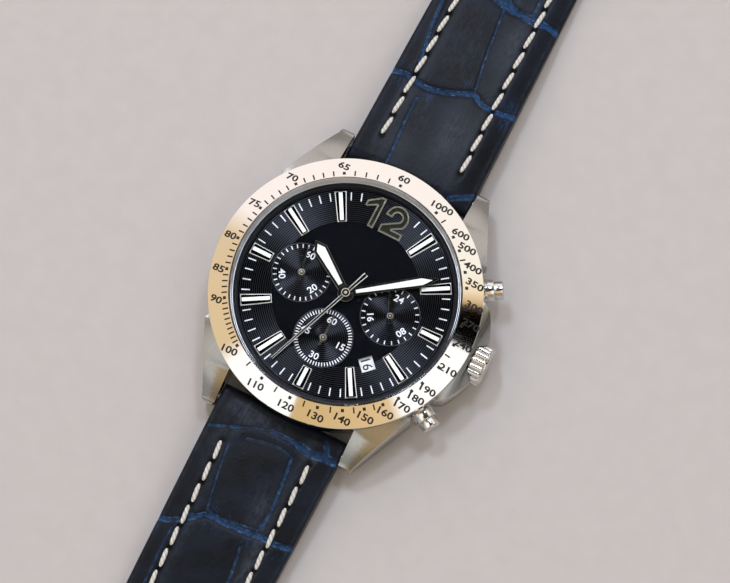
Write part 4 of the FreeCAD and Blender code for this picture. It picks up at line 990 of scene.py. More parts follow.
@dataclass
class Case:
    """The steel case with its bezel, glass, back, crown and pushers."""

    bezel_profile: tuple[Point, ...] = (
        (17.93, 8.0), (19.93, 8.0), (20.0, 8.07), (20.0, 9.03), (19.94, 9.12), (16.93, 10.37), (16.88, 10.37),
        (16.86, 10.34), (16.86, 9.03), (17.93, 9.03),
    )
    glass_profile: tuple[Point, ...] = (
        (0.02, 9.0), (16.83, 9.0), (16.83, 10.42), (16.72, 10.6), (16.5, 10.7), (0.02, 10.7),
    )
    flange_profile: tuple[Point, ...] = (
        (15.65, 7.6), (16.83, 7.6), (16.83, 9.0), (16.74, 8.98), (16.4, 8.6), (16.4, 8.52), (16.34, 8.52),
        (15.98, 8.12), (15.98, 8.04), (15.92, 8.04), (15.7, 7.78), (15.65, 7.72),
    )
    flange_foot: float = 16.2
    barrel_foot: float = 3.0
    crown_start: float = 20.5
    crown_end: float = 22.95
    crown_z: float = 4.8
    crown_radius: float = 3.05
    crown_bore: float = 1.8
    crown_roof: float = 0.55
    ribs: int = 16
    rib_depth: float = 0.36

    def middle(self) -> None:
        """Builds the case middle: drawn straight lines on its tops, a mirror on its flanks."""
        piece = likeness("case_middle", "case_middle_finished", width=0.16, degrees=25.0)
        seat(piece, "case", "brushed_steel", POLISHED.material(), BRUSHED.material())
        sort_faces(piece, lambda face: face.normal.z > 0.5 and face.center.z > self.barrel_foot * MM)

    def turned_pieces(self) -> None:
        """Builds the bezel, the glass and the sloping flange on the lathe."""
        for node, profile, slot, finishes in (
                ("bezel", self.bezel_profile, "bezel_steel", (BEZEL,)),
                ("crystal", self.glass_profile, "crystal_glass", (MineralGlass(),)),
                ("rehaut", self.flange_profile, "polished_steel", (RHODIUM, FLANGE_FOOT))):
            piece = lathe(node + "_turned", profile)
            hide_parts(node)
            seat(piece, "case", slot, *(finish.material() for finish in finishes), degrees=22.0)
            if len(finishes) > 1:
                sort_faces(piece, lambda face: face.center.xy.length < self.flange_foot * MM)

    def controls(self) -> None:
        """Builds the crown, the pushers and their collars with rounded edges."""
        steel = POLISHED.material()
        for node, body, width in (("start_pusher", "start_pusher", 0.1),
                                  ("reset_pusher", "reset_pusher", 0.1),
                                  ("pusher_tubes", "case", 0.07)):
            seat(likeness(node, node + "_finished", width, degrees=28.0), body, "polished_steel", steel)
        crown = self.crown()
        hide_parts("crown")
        seat(crown, "crown", "polished_steel", steel, degrees=50)

    def crown(self) -> Piece:
        """Builds the crown: turned upright, its band pressed into round ribs, then laid on its axis.

        Returns:
            The crown.
        """
        radius, length = self.crown_radius, self.crown_end - self.crown_start
        skirt = [(radius - 0.12, 0.0), (radius, 0.1), (radius, 0.3)]
        shoulder = [(radius - inwards, length - down) for inwards, down in (
            (0.0, 0.62), (0.0, 0.45), (0.14, 0.34), (0.3, 0.3), (0.34, 0.12), (0.48, 0.02), (0.7, 0.0))]
        roof, bore = length - self.crown_roof, self.crown_bore
        inside = [(0.02, length), (0.02, roof), (bore, roof)]
        piece = lathe("crown_ribbed", [(bore, 0.0), *skirt, *shoulder, *inside], 216)
        for corner in piece.data.vertices:
            x, y, z = corner.co / MM
            wide = math.hypot(x, y)
            if wide > radius - 0.2 and z < length - 0.3:
                dip = 1 - self.rib_depth / wide * (1 - abs(math.cos(math.atan2(y, x) * self.ribs / 2)) ** 0.6)
                corner.co = (x * dip * MM, y * dip * MM, z * MM)
        piece.data.transform(moved(self.crown_start, 0, self.crown_z) @ Matrix.Rotation(math.pi / 2, 4, "Y"))
        return piece

    def back(self) -> None:
        """Builds the screwed back with its rounded rim and key notches."""
        piece = likeness("case_back", "case_back_finished", width=0.12, degrees=12.0)
        seat(piece, "case", "brushed_steel", BACK.material())

    def build(self) -> None:
        """Builds the case in order."""
        self.middle()
        self.turned_pieces()
        self.controls()
        self.back()
        Scale().build(SCALE_FILL.material())


# ---------------------------------------------------------------- dial

@dataclass
class Counter:
    """A small dial: its ring of ticks and its upright numerals."""

    name: str
    at: Point
    ticks: int
    figures: tuple[tuple[str, float, float], ...]
    inner: float = 3.65
    outer: float = 4.2
    numeral_radius: float = 2.85
    numeral_height: float = 1.0
    tick_half: float = 0.075
    ink: float = 0.012

    def build(self, floor: float) -> list[Piece]:
        """Builds the counter's print.

        Args:
            floor: the height of the counter's sunk floor.

        Returns:
            Its pieces.
        """
        half = self.tick_half
        tick = block("tick", (-half, self.inner, floor), (half, self.outer, floor + self.ink))
        turns = [hand_turn(360.0 * i / self.ticks, self.at) for i in range(self.ticks)]
        pieces = [repeat(tick, self.name + "_ticks", turns)]
        for text, angle, tilt in self.figures:
            x, y = clock(self.numeral_radius, angle)
            piece = figure(text, self.numeral_height, (self.at[0] + x, self.at[1] + y), tilt, 1.08)
            lift(piece, floor)
            pieces.append(piece)
        return pieces


@dataclass
class Dial:
    """The dial with its print, date, applied markers and hands."""

    top: float = 7.6
    counter_depth: float = 0.1
    sunk: float = 0.002
    ink: float = 0.012
    track_span: Point = (13.95, 15.15)
    track_half: float = 0.085
    under_twelve: tuple[int, ...] = (1, 2, 58, 59)
    date_at: float = 10.74
    date_angle: float = 136.4
    date_tilt: float = 46.0
    date_z: float = 7.1
    date_height: float = 1.45
    days: int = 31
    shown_day: int = 16
    marker_shoulder: float = 7.84
    marker_starts: Point = (10.85, 12.1)
    marker_end: float = 15.2
    marker_halves: Point = (0.555, 0.78)
    rim: float = 0.09
    counter_rim: tuple[Point, ...] = ((4.33, 7.5), (4.41, 7.5), (4.41, 7.61), (4.33, 7.61))
    centre_cap: Point = (8.875, 0.68)
    small_cap: Point = (7.825, 0.46)
    cap_wall: float = 0.93
    cap_groove: Point = (0.42, 0.74)
    plated_pieces: tuple[tuple[str, str, float], ...] = (
        ("hour_markers", "case", 0.1), ("hour_hand", "hour_hand", 0.06), ("minute_hand", "minute_hand", 0.06),
        ("chrono_seconds_hand", "chrono_seconds", 0.03), ("small_seconds_hand", "small_seconds", 0.05),
        ("chrono_minutes_hand", "chrono_minutes", 0.05), ("day_hand", "day_hand", 0.05),
    )
    counters: tuple[Counter, ...] = (
        Counter("day_counter", (7.2, 0.0), 24,
                (("24", 0.0, 0.0), ("08", 120.0, -60.0), ("16", 240.0, 60.0))),
        Counter("minute_counter", (-7.2, 0.0), 30,
                (("60", 0.0, 0.0), ("20", 120.0, -60.0), ("40", 240.0, 60.0))),
        Counter("second_counter", (0.0, -7.2), 60,
                (("60", 0.0, 0.0), ("15", 90.0, 0.0), ("30", 180.0, 0.0), ("45", 270.0, 0.0))),
    )

    def track(self) -> Piece:
        """Builds the minute track, which stops at the applied markers.

        Returns:
            The joined ticks.
        """
        (start, end), half = self.track_span, self.track_half
        tick = block("tick", (-half, start, self.top - self.sunk), (half, end, self.top + self.ink))
        minutes = [i for i in range(60) if i % 5 and i not in self.under_twelve]
        return repeat(tick, "minute_track", [hand_turn(6.0 * i) for i in minutes])

    def print_dial(self) -> None:
        """Builds all the white print, and the date ring's figures."""
        pieces = [self.track()]
        for counter in self.counters:
            pieces += counter.build(self.top - self.counter_depth - self.sunk)
        seat(join("dial_print", pieces), "case", "dial_lacquer", DIAL_INK.material())
        dates = []
        for day in range(1, self.days + 1):
            turn = self.date_angle + (self.shown_day - day) * 360.0 / self.days
            tilt = self.date_tilt + turn - self.date_angle
            dates.append(figure(str(day), self.date_height, clock(self.date_at, turn), tilt, thickness=0.01))
        date = join("date_figures", dates)
        lift(date, self.date_z)
        seat(date, "date_ring", "date_paint", DATE_INK.material())

    def marker_rims(self) -> None:
        """Builds the flat rim that the foot of each applied marker shows round its sloping sides; its pale
        steel paints a thin highlight round each marker.
        """
        rims, ends = [], (self.marker_starts[0], self.marker_end)
        for hour in range(1, 12):
            start = self.marker_starts[hour % 3 == 0] - self.rim
            rim = block("rim", (-1, start, self.top - 0.01), (1, self.marker_end + self.rim, self.top + 0.03))
            for corner in rim.data.vertices:
                wide = np.interp(corner.co.y / MM, ends, self.marker_halves)
                corner.co.x = math.copysign((wide + self.rim) * MM, corner.co.x)
            rim.data.transform(hand_turn(30.0 * hour))
            rims.append(rim)
        seat(join("marker_rims", rims), "case", "hand_steel", RIM.material())

    def frames(self) -> None:
        """Builds the thin raised rims round the counters."""
        rims = []
        for counter in self.counters:
            rim = lathe("rim", self.counter_rim, 96)
            rim.data.transform(moved(*counter.at))
            rims.append(rim)
        seat(join("counter_rims", rims), "case", "dial_lacquer", COUNTER_RIM.material())

    def hub(self, name: str, body: str, at: Point, foot: float, radius: float, *finishes: Material) -> None:
        """Builds the turned cap that holds a hand on its arbor.

        Args:
            name: its name.
            body: the body of its hand.
            at: its axis.
            foot: the height it stands on.
            radius: its radius.
            finishes: the metal of its rim and pin, and that of the groove between them.
        """
        low, rim, top = foot + 0.08, foot + 0.14, foot + 0.24
        inner, outer = self.cap_groove
        steps = ((1.0, foot), (1.0, low), (self.cap_wall, rim), (0.8, rim), (outer, low), (inner, low),
                 (0.36, rim), (0.28, top))
        around = [(radius * share, height) for share, height in steps]
        piece = lathe(name, [(0.01, foot), *around, (0.01, top)], 64)
        piece.data.transform(moved(*at))
        seat(piece, body, "hand_steel", *finishes, degrees=25)

        def grooved(face: bpy.types.MeshPolygon) -> bool:
            """Whether a face lies in the groove or on the outer wall."""
            away = math.hypot(face.center.x / MM - at[0], face.center.y / MM - at[1]) / radius
            return inner < away < outer or away > self.cap_wall

        sort_faces(piece, grooved)

    def hubs(self) -> None:
        """Builds the caps of the centre hands and of the three small hands."""
        steel = HUB.material(), FACET.material()
        self.hub("centre_cap", "chrono_seconds", (0.0, 0.0), *self.centre_cap, *steel)
        for counter, body in zip(self.counters, ("day_hand", "chrono_minutes", "small_seconds")):
            self.hub(counter.name + "_cap", body, counter.at, *self.small_cap, *steel)

    def build(self) -> None:
        """Dresses the dial's CAD nodes and builds its print."""
        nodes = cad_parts
        coat(nodes["dial"], DialLacquer().material())
        coat(nodes["numeral_twelve"], SunkNumeral().material())
        coat(nodes["date_ring"], DATE_PAINT.material())
        lume = LUME.material()
        for node in ("marker_lume", "hour_hand_lume", "minute_hand_lume"):
            coat(nodes[node], lume)
        # Where a piece has two materials, its bevel faces take the second: pale, rough steel that paints a
        # highlight along the edges of the hands and markers.
        own = {"hour_markers": (FACET.material(), BRIGHT.material()),
               "chrono_seconds_hand": (LinedNeedle().material(),)}
        plated = NICKEL.material(), EDGE.material()
        for node, body, width in self.plated_pieces:
            piece = likeness(node, node + "_cut", width, 1, 25.0, own.get(node, plated))
            seat(piece, body, "hand_steel", degrees=20)
            if node == "hour_markers":
                shoulder = self.marker_shoulder * MM
                sort_faces(piece, lambda face: face.material_index > 0 and face.center.z <= shoulder)
        self.print_dial()
        self.marker_rims()
        self.frames()
        self.hubs()


# ---------------------------------------------------------------- movement

@dataclass
class Movement:
    """The hidden works: only their finishes, on the CAD's own solids."""

    finishes: dict[Metal | Paint, tuple[str, ...]] = field(default_factory=lambda: {
        BRASS_PLATE: ("main_plate", "train_bridge"),
        BRASS_WHEEL: ("minute_wheel", "hour_wheel", "day_idler", "day_wheel", "counter_wheel",
                      "counter_arbor", "small_seconds_arbor"),
        SPRING: ("spring_bars", "stem", "setting_lever", "battery_clamp", "cannon_pinion",
                 "chrono_seconds_arbor", "crown_tube", "buckle_bar"),
        COPPER: ("motor_coils",),
        IRON: ("motor_cores",),
        CELL: ("battery",),
        NYLON: ("movement_ring",),
    })

    def build(self) -> None:
        """Dresses each hidden node."""
        for finish, names in self.finishes.items():
            made = finish.material()
            for name in names:
                coat(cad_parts[name], made)
            log.info("%s on %s", finish.name, ", ".join(names))


# ---------------------------------------------------------------- strap

# The distance from a fold, in millimetres, past which the leather counts as plain.
FAR = 4.0


@dataclass(frozen=True)
class Crease:
    """A fold or a scale's border in the leather: its line, its width and how much dye shows in it."""

    line: tuple[Point, ...]
    width: float = 0.46
    dye: float = 1.0
    depth: float = 0.24


def run_lengths(line: np.ndarray) -> np.ndarray:
    """How far along a line each of its points lies."""
    return np.r_[0, np.cumsum(np.hypot(*np.diff(line, axis=0).T))]


def spline(line: Sequence[Point], step: float = 0.4) -> np.ndarray:
    """Rounds a line's corners and divides it evenly.

    Args:
        line: its points.
        step: the distance between the points returned.

    Returns:
        The points along it.
    """
    points = np.array(line, dtype=float)
    for _ in range(2):
        if len(points) > 2:
            early, late = points[:-1] * 0.75 + points[1:] * 0.25, points[:-1] * 0.25 + points[1:] * 0.75
            middle = np.stack([early, late], 1).reshape(-1, 2)
            points = np.vstack([points[:1], middle[1:-1], points[-1:]])
    runs = run_lengths(points)
    along = np.linspace(0, runs[-1], max(2, int(runs[-1] / step)))
    return np.stack([np.interp(along, runs, points[:, 0]), np.interp(along, runs, points[:, 1])], 1)


def nearest(x: np.ndarray, y: np.ndarray, line: np.ndarray) -> np.ndarray:
    """The distance from each place to a line.

    Args:
        x: the places' x.
        y: the places' y.
        line: the line's points.

    Returns:
        The distances.
    """
    best = np.full(x.shape, 99.0)
    low, high = line.min(0) - 3, line.max(0) + 3
    close = (x > low[0]) & (x < high[0]) & (y > low[1]) & (y < high[1])
    px, py = x[close], y[close]
    for (ax, ay), (bx, by) in zip(line[:-1], line[1:]):
        dx, dy = bx - ax, by - ay
        share = np.clip(((px - ax) * dx + (py - ay) * dy) / max(dx * dx + dy * dy, 1e-9), 0, 1)
        best[close] = np.minimum(best[close], np.hypot(px - ax - share * dx, py - ay - share * dy))
    return best


def arch(radius: float, away: np.ndarray) -> np.ndarray:
    """The height of a round of one radius at some distances from its middle."""
    return np.sqrt(np.clip(radius ** 2 - away ** 2, 0, None))


def ramp(value: np.ndarray, start: float, end: float) -> np.ndarray:
    """A smooth rise from 0 to 1 between two values."""
    share = np.clip((value - start) / (end - start), 0, 1)
    return share * share * (3 - 2 * share)


@dataclass
class StrapHalf:
    """One half of the strap: padded and stitched leather over a lining, drawn towards 12 o'clock."""

    name: str
    body: str
    node: str
    lining_node: str
    end: float
    creases: tuple[Crease, ...]
    first_stitch: float
    last_stitch: float
    stitch_length: float
    stitch_pitch: float
    mirrored: bool = False
    lifted: bool = False
    worn: tuple[tuple[float, float, float, float, float], ...] = ()
    bar_y: float = 21.0
    bar_z: float = 3.3
    loop: float = 2.2
    foot: Point = (8.0, 0.02)
    crest: float = 5.5
    shoulder: Point = (16.0, 4.6)
    flat_from: float = 35.0
    thickness: float = 3.0
    lining: float = 0.8
    lining_end: float = 90.4
    rise: Point = (56.0, 64.0)
    wide: float = 9.93
    narrow: float = 8.98
    narrow_y: float = 96.0
    end_loop: float = 1.5
    end_z: float = 2.5
    point: float = 12.0
    tip_half: float = 1.0
    tip_fall: float = 0.5
    inset: float = 3.4
    crown_fall: float = 0.12
    border_fall: float = 0.75
    border_reach: float = 0.9
    channel_depth: float = 0.14
    channel_half: float = 0.5
    channel_start: Point = (22.0, 24.5)
    puff: float = 0.13
    puff_reach: float = 1.7
    stitch_dip: float = 0.22
    stitch_hole: float = 0.34
    thread_half: Point = (0.34, 0.27)
    thread_stand: float = 0.06
    thread_slant: float = 0.1
    edge_round: float = 0.55
    foot_round: float = 0.3
    across: int = 124
    steps: Point = (0.15, 0.32)
    holes: int = 7
    hole_radius: float = 1.05
    hole_setback: float = 10.0
    hole_pitch: float = 6.0
    slot_half: float = 1.7
    slot_reach: float = 4.5

    def half_width(self, y: np.ndarray) -> np.ndarray:
        """Half the strap's width along its length.

        Args:
            y: places along the half.

        Returns:
            Half the width at each.
        """
        along = np.clip((y - self.bar_y) / (self.narrow_y - self.bar_y), 0, 1)
        half = self.wide + (self.narrow - self.wide) * along
        if self.lifted:
            return half
        into_point = np.clip((y - (self.end - self.point)) / self.point, 0, 1)
        return np.maximum(half * (1 - into_point ** 2.66), self.tip_half)

    def lift(self, y: np.ndarray) -> np.ndarray:
        """How far the half rises over its keepers."""
        return ramp(y, *self.rise) if self.lifted else np.zeros_like(y)

    def under(self, y: np.ndarray) -> np.ndarray:
        """The height of the half's underside.

        Args:
            y: places along the half.

        Returns:
            The height at each.
        """
        reach, foot = self.foot
        body = np.interp(y, [self.bar_y, self.bar_y + reach], [self.bar_z - self.loop, foot]) + self.lift(y)
        if self.lifted:
            round_end = self.end_z - arch(self.end_loop, np.clip(y - self.narrow_y, 0, None))
            body = np.where(y > self.narrow_y, round_end, body)
        return np.where(y < self.bar_y, self.bar_z - arch(self.loop, self.bar_y - y), body)

    def crown(self, y: np.ndarray) -> np.ndarray:
        """The height of the half's upper side at its middle.

        Args:
            y: places along the half.

        Returns:
            The height at each: it falls in a curve from the crest to the flat part.
        """
        t = y - self.bar_y
        near, height = self.shoulder
        first, second = (height - self.crest) / near, (self.thickness - self.crest) / self.flat_from
        bend = (second - first) / (self.flat_from - near)
        curve = self.crest + t * (first + bend * (t - near))
        body = np.where(t < self.flat_from, curve, self.thickness) + self.lift(y)
        if self.lifted:
            round_end = self.end_z + arch(self.end_loop, np.clip(y - self.narrow_y, 0, None))
            body = np.where(y > self.narrow_y, round_end, body)
        else:
            body = body - self.tip_fall * ramp(y, self.end - self.point / 2, self.end)
        return np.where(y < self.bar_y, self.bar_z + arch(self.loop, self.bar_y - y), body)

    def rows(self) -> np.ndarray:
        """The stations along the half: close near the case, wider past it.

        Returns:
            The y of each.
        """
        turn = self.rise[0]
        near = np.arange(self.bar_y - self.loop + 0.03, turn, self.steps[0])
        return np.r_[near, np.arange(turn, self.end, self.steps[1]), self.end - 0.01]

    def padding(self, x: np.ndarray, y: np.ndarray) -> np.ndarray:
        """How far the padded upper side falls from its middle to its border.

        Args:
            x: places across the half.
            y: places along it.

        Returns:
            The height to add.
        """
        half = self.half_width(y)
        border = ramp(half - np.abs(x), self.inset + self.border_reach, 0.0)
        return -self.crown_fall * (x / half) ** 2 - self.border_fall * border ** 1.7

    def relief(self, x: np.ndarray, y: np.ndarray) -> tuple[np.ndarray, dict[str, np.ndarray]]:
        """The padding, stitch channels, folds and thread holes of the upper side.

        Args:
            x: places across the half.
            y: places along it.

        Returns:
            The height to add, and the values that the leather's finish reads.
        """
        edge = self.half_width(y) - np.abs(x)
        rise = self.padding(x, y)
        channel = np.exp(-((edge - self.inset) / self.channel_half) ** 2) * ramp(y, *self.channel_start)
        rise -= self.channel_depth * channel
        closest, fold_value = np.full_like(x, FAR), np.full_like(x, FAR)
        dye, shares, hatch = np.zeros_like(x), np.full_like(x, 1e-6), np.zeros_like(x)
        for fold in self.creases:
            away = nearest(x, y, spline(fold.line))
            rise -= fold.depth * np.exp(-(away / fold.width) ** 2)
            share = np.exp(-np.minimum(away, FAR) * FAR)
            dye += fold.dye * share
            shares += share
            closest = np.minimum(closest, away)
            fold_value = np.minimum(fold_value, np.hypot(away, 0.04) / fold.width)
            if fold.dye > 0.95:
                hatch = np.maximum(hatch, ramp(away, 0.4, 0.9) * ramp(away, 3.0, 1.6))
        rise += self.puff * (1 - np.exp(-(closest / self.puff_reach) ** 2))
        # A lighter grey tint for rubbed wear beside the seam and at the edges, and painted sheen at the
        # listed spots.
        beside_seam, at_edge = (edge - self.inset - 1.2) / 0.6, (edge - 0.4) / 0.3
        wear = 0.25 * np.exp(-beside_seam ** 2) + 0.3 * np.exp(-at_edge ** 2)
        for px, py, wide, long, strength in self.worn:
            wear += strength * np.exp(-((x - px) / wide) ** 2 - ((y - py) / long) ** 2)
        # The thread holes dip, and their mask paints them near black as shade.
        hole = np.zeros_like(x)
        for px, py, _ in self.thread_ends():
            close = (np.abs(x - px) < 1.2) & (np.abs(y - py) < 1.2)
            dip = np.exp(-(np.hypot(x[close] - px, y[close] - py) / self.stitch_hole) ** 2)
            rise[close] -= self.stitch_dip * dip
            hole[close] = np.maximum(hole[close], dip)
        values = {"fold": fold_value, "dye": dye / shares, "wear": np.clip(wear, 0, 1), "hole": hole,
                  "hatch": hatch}
        return rise, values

    def seam(self) -> np.ndarray:
        """The stitched line: up one side and, on the long half, round its point and back.

        Returns:
            Its points.
        """
        ys = np.arange(self.first_stitch, self.last_stitch, 0.5)
        right = np.stack([self.half_width(ys) - self.inset, ys], 1)
        if self.lifted:
            return right
        top = self.end - self.inset - 0.6
        start = right[-1]
        share = np.linspace(0, 1, 40)[1:]
        curve = np.stack([start[0] * (1 - share ** 2.6), start[1] + (top - start[1]) * share], 1)
        side = np.vstack([right, curve])
        return np.vstack([side, side[-2::-1] * (-1, 1)])

    def stitches(self) -> list[tuple[float, float, float]]:
        """Sets the stitches out along the seam, and along its twin on the short half.

        Returns:
            The middle of each stitch and its heading, in x, y and radians.
        """
        line = self.seam()
        runs = run_lengths(line)
        first = self.stitch_length / 2
        middles = np.arange(first, runs[-1] - first + 0.1, self.stitch_pitch)
        found = []
        for along in middles:
            x, y = np.interp(along, runs, line[:, 0]), np.interp(along, runs, line[:, 1])
            ahead = np.interp(along + 0.4, runs, line[:, 0]) - x, np.interp(along + 0.4, runs, line[:, 1]) - y
            found.append((float(x), float(y), math.atan2(-ahead[0], ahead[1])))
        if self.lifted:
            found += [(-x, y, -turned) for x, y, turned in found]
        return found

    def thread_ends(self) -> list[tuple[float, float, float]]:
        """Where the thread goes down, at both ends of each stitch.

        Returns:
            The x and y of each end, and its stitch's heading in radians.
        """
        reach = self.stitch_length / 2 + 0.1
        return [(x - math.sin(t) * reach * way, y + math.cos(t) * reach * way, t)
                for x, y, t in self.stitches() for way in (-1, 1)]

    def section(self, half: np.ndarray, low: np.ndarray, high: np.ndarray,
                across: int) -> tuple[np.ndarray, np.ndarray]:
        """The closed cross-section at each station.

        Args:
            half: half the width at each station.
            low: the underside's height at each station.
            high: the upper side's height at each station.
            across: how many columns the upper side gets.

        Returns:
            The x and the height of each column at each station; the first and last column coincide.
        """
        turn_up = np.minimum(self.edge_round, (high - low) * 0.4)
        turn_down = np.minimum(self.foot_round, (high - low) * 0.3)
        quarter = np.radians([15, 40, 65])
        share = np.linspace(-1, 1, across)
        xs = [s * (half - turn_up) for s in share]
        zs = [high for _ in share]
        for a in quarter:
            xs.append(half - turn_up + turn_up * np.sin(a))
            zs.append(high - turn_up + turn_up * np.cos(a))
        xs += [half, half, half - turn_down]
        zs += [high - turn_up, low + turn_down, low]
        for s in np.linspace(1, -1, 12)[1:-1]:
            xs.append(s * (half - turn_down))
            zs.append(low)
        xs += [-half + turn_down, -half, -half]
        zs += [low, low + turn_down, high - turn_up]
        for a in quarter[::-1]:
            xs.append(-half + turn_up - turn_up * np.sin(a))
            zs.append(high - turn_up + turn_up * np.cos(a))
        xs.append(xs[0])
        zs.append(zs[0])
        return np.stack(xs, 1), np.stack(zs, 1)

    def skin(self, name: str, ys: np.ndarray, xs: np.ndarray, zs: np.ndarray,
             values: dict[str, np.ndarray]) -> Piece:
        """Wraps a grid into a closed strip.

        Args:
            name: the piece's name.
            ys: the stations.
            xs: the x of each column at each station.
            zs: the height of each column at each station.
            values: named values of each column at each station.

        Returns:
            The strip.
        """
        deselect()
        rows, columns = xs.shape
        bpy.ops.mesh.primitive_grid_add(x_subdivisions=columns - 1, y_subdivisions=rows - 1, size=1.0)
        piece = bpy.context.object
        places = np.stack([xs, np.broadcast_to(ys[:, None], xs.shape), zs], 2) * MM
        piece.data.vertices.foreach_set("co", places.ravel())
        for key, value in values.items():
            piece.data.attributes.new(key, "FLOAT", "POINT").data.foreach_set("value", value.ravel())
        settle(name)
        with editing(piece):
            bpy.ops.mesh.remove_doubles(threshold=1e-6)
            bpy.ops.mesh.fill_holes(sides=0)
        close_up(piece, 0.0001)
        return piece

    def cutters(self) -> Piece:
        """Builds the tools that cut the tongue's slot or the row of buckle holes.

        Returns:
            The joined tools.
        """
        if self.lifted:
            half = self.slot_half
            slot = block("slot", (-half, self.narrow_y - self.slot_reach, -1), (half, self.end + 2, 7))
            bevel(slot, 0.8, 4)
            return slot
        holes = []
        for i in range(self.holes):
            deselect()
            y = self.end - self.point - self.hole_setback - self.hole_pitch * i
            bpy.ops.mesh.primitive_cylinder_add(vertices=28, radius=self.hole_radius * MM, depth=9 * MM,
                                                location=(0, y * MM, 0))
            holes.append(settle("hole"))
        return join("holes", holes)

    def cut(self, piece: Piece) -> None:
        """Cuts the slot or the holes through a layer.

        Args:
            piece: the layer.
        """
        tool = self.cutters()
        modify(piece, "BOOLEAN", object=tool, operation="DIFFERENCE", solver="EXACT")
        bpy.data.objects.remove(tool)

    def top_layer(self) -> Piece:
        """Builds the padded upper leather.

        Returns:
            The piece.
        """
        ys = self.rows()
        has_lining = ramp(ys, self.bar_y + 2.6, self.bar_y + 4.0)
        if self.lifted:
            has_lining *= 1 - ramp(ys, self.lining_end - 0.4, self.lining_end + 0.5)
        low = self.under(ys) + self.lining * has_lining
        high = self.crown(ys)
        xs, zs = self.section(self.half_width(ys), low, high, self.across)
        where = np.broadcast_to(ys[:, None], xs.shape)
        rise, values = self.relief(xs, where)
        upper = np.clip((zs - low[:, None]) / np.maximum(high - low, 0.1)[:, None], 0, 1)
        edge_fade = np.clip(np.minimum(where - self.bar_y + self.loop, self.end - where) / 1.5, 0, 1)
        strength = ramp(upper, 0.35, 0.8) * edge_fade
        for key in ("dye", "wear", "hole", "hatch"):
            values[key] = values[key] * strength
        return self.skin(self.name + "_leather", ys, xs, zs + rise * strength, values)

    def lining_layer(self) -> Piece:
        """Builds the thin lining under the leather.

        Returns:
            The piece.
        """
        last = self.lining_end if self.lifted else self.end - 0.1
        ys = np.r_[np.arange(self.bar_y + 3.2, last, 0.9), last]
        low = self.under(ys)
        xs, zs = self.section(self.half_width(ys) - 0.12, low, low + self.lining - 0.03, 16)
        # The lining gets an even share of the lighter tint that stands for wear and painted sheen.
        values = {"fold": np.full_like(xs, FAR), "wear": np.full_like(xs, 0.5)}
        return self.skin(self.name + "_lining", ys, xs, zs, values)

    def thread(self) -> Piece:
        """Builds the seam: one stitch, copied along it.

        Returns:
            The joined stitches.
        """
        deselect()
        bpy.ops.mesh.primitive_uv_sphere_add(segments=8, ring_count=7, radius=1.0,
                                             rotation=(math.pi / 2, 0, 0))
        pattern = settle("stitch")
        half, tall = self.thread_half
        for corner in pattern.data.vertices:
            x, y, z = corner.co
            full = (1 - abs(y) ** 4) ** 0.5 / (math.hypot(x, z) or 1.0)
            corner.co = (x * full * half * MM, y * self.stitch_length / 2 * MM, z * full * tall * MM)
        places = []
        for x, y, heading in self.stitches():
            across, along = np.array([x]), np.array([y])
            height = float(self.crown(along)[0] + self.padding(across, along)[0]) + self.thread_stand
            slope = float(self.crown(along + 0.5)[0] - self.crown(along - 0.5)[0])
            place = moved(x, y, height) @ Matrix.Rotation(heading - self.thread_slant, 4, "Z")
            places.append(place @ Matrix.Rotation(math.atan(slope), 4, "X"))
        return repeat(pattern, self.name + "_stitches", places)

    def build(self, leather: Material, lining: Material, thread: Material) -> None:
        """Builds the half's three layers, on its own side of the case.

        Args:
            leather: the upper leather's finish.
            lining: the lining's finish.
            thread: the thread's finish.
        """
        top, under, seam = self.top_layer(), self.lining_layer(), self.thread()
        self.cut(top)
        if not self.lifted:
            self.cut(under)
        if self.mirrored:
            for piece in (top, under, seam):
                piece.data.transform(Matrix.Diagonal((1, -1, 1, 1)))
                piece.data.flip_normals()
        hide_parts(self.node)
        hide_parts(self.lining_node)
        seat(top, self.body, "navy_leather", leather, degrees=60)
        seat(under, self.body, "lining_leather", lining, degrees=50)
        seat(seam, self.body, "navy_leather", thread, degrees=80)


def cross_fold(y: float, seed: int) -> Crease:
    """A scale border right across the strap.

    Args:
        y: its place along the strap.
        seed: chooses its waviness.

    Returns:
        The fold.
    """
    chance = np.random.default_rng(seed)
    stations = (-9.4, -6.5, -4, -1.2, 1.5, 4.2, 6.8, 9.4)
    return Crease(tuple((x, y + float(chance.uniform(-1.0, 1.0))) for x in stations))


def long_fold(x: float, start: float, end: float, seed: int) -> Crease:
    """A scale border along the strap between two cross folds.

    Args:
        x: its place across the strap.
        start: where it starts.
        end: where it ends.
        seed: chooses its waviness.

    Returns:
        The fold.
    """
    chance = np.random.default_rng(seed)
    line = tuple((x + float(chance.uniform(-0.8, 0.8)), float(y)) for y in np.linspace(start, end, 5))
    return Crease(line, 0.24, 0.65, 0.13)


def far_folds(places: Sequence[float], seed: int) -> tuple[Crease, ...]:
    """The scale pattern past the part beside the case.

    Args:
        places: where the cross folds lie.
        seed: chooses their waviness.

    Returns:
        The folds.
    """
    folds = [cross_fold(y, seed + i) for i, y in enumerate(places)]
    for i, (start, end) in enumerate(zip(places[:-1], places[1:])):
        shift, first = 0.7 * (-1) ** i, seed + 20 + 3 * i
        folds += [long_fold(x + shift, start, end, first + j) for j, x in enumerate((-4.6, 0.4, 4.9))]
    return tuple(folds)


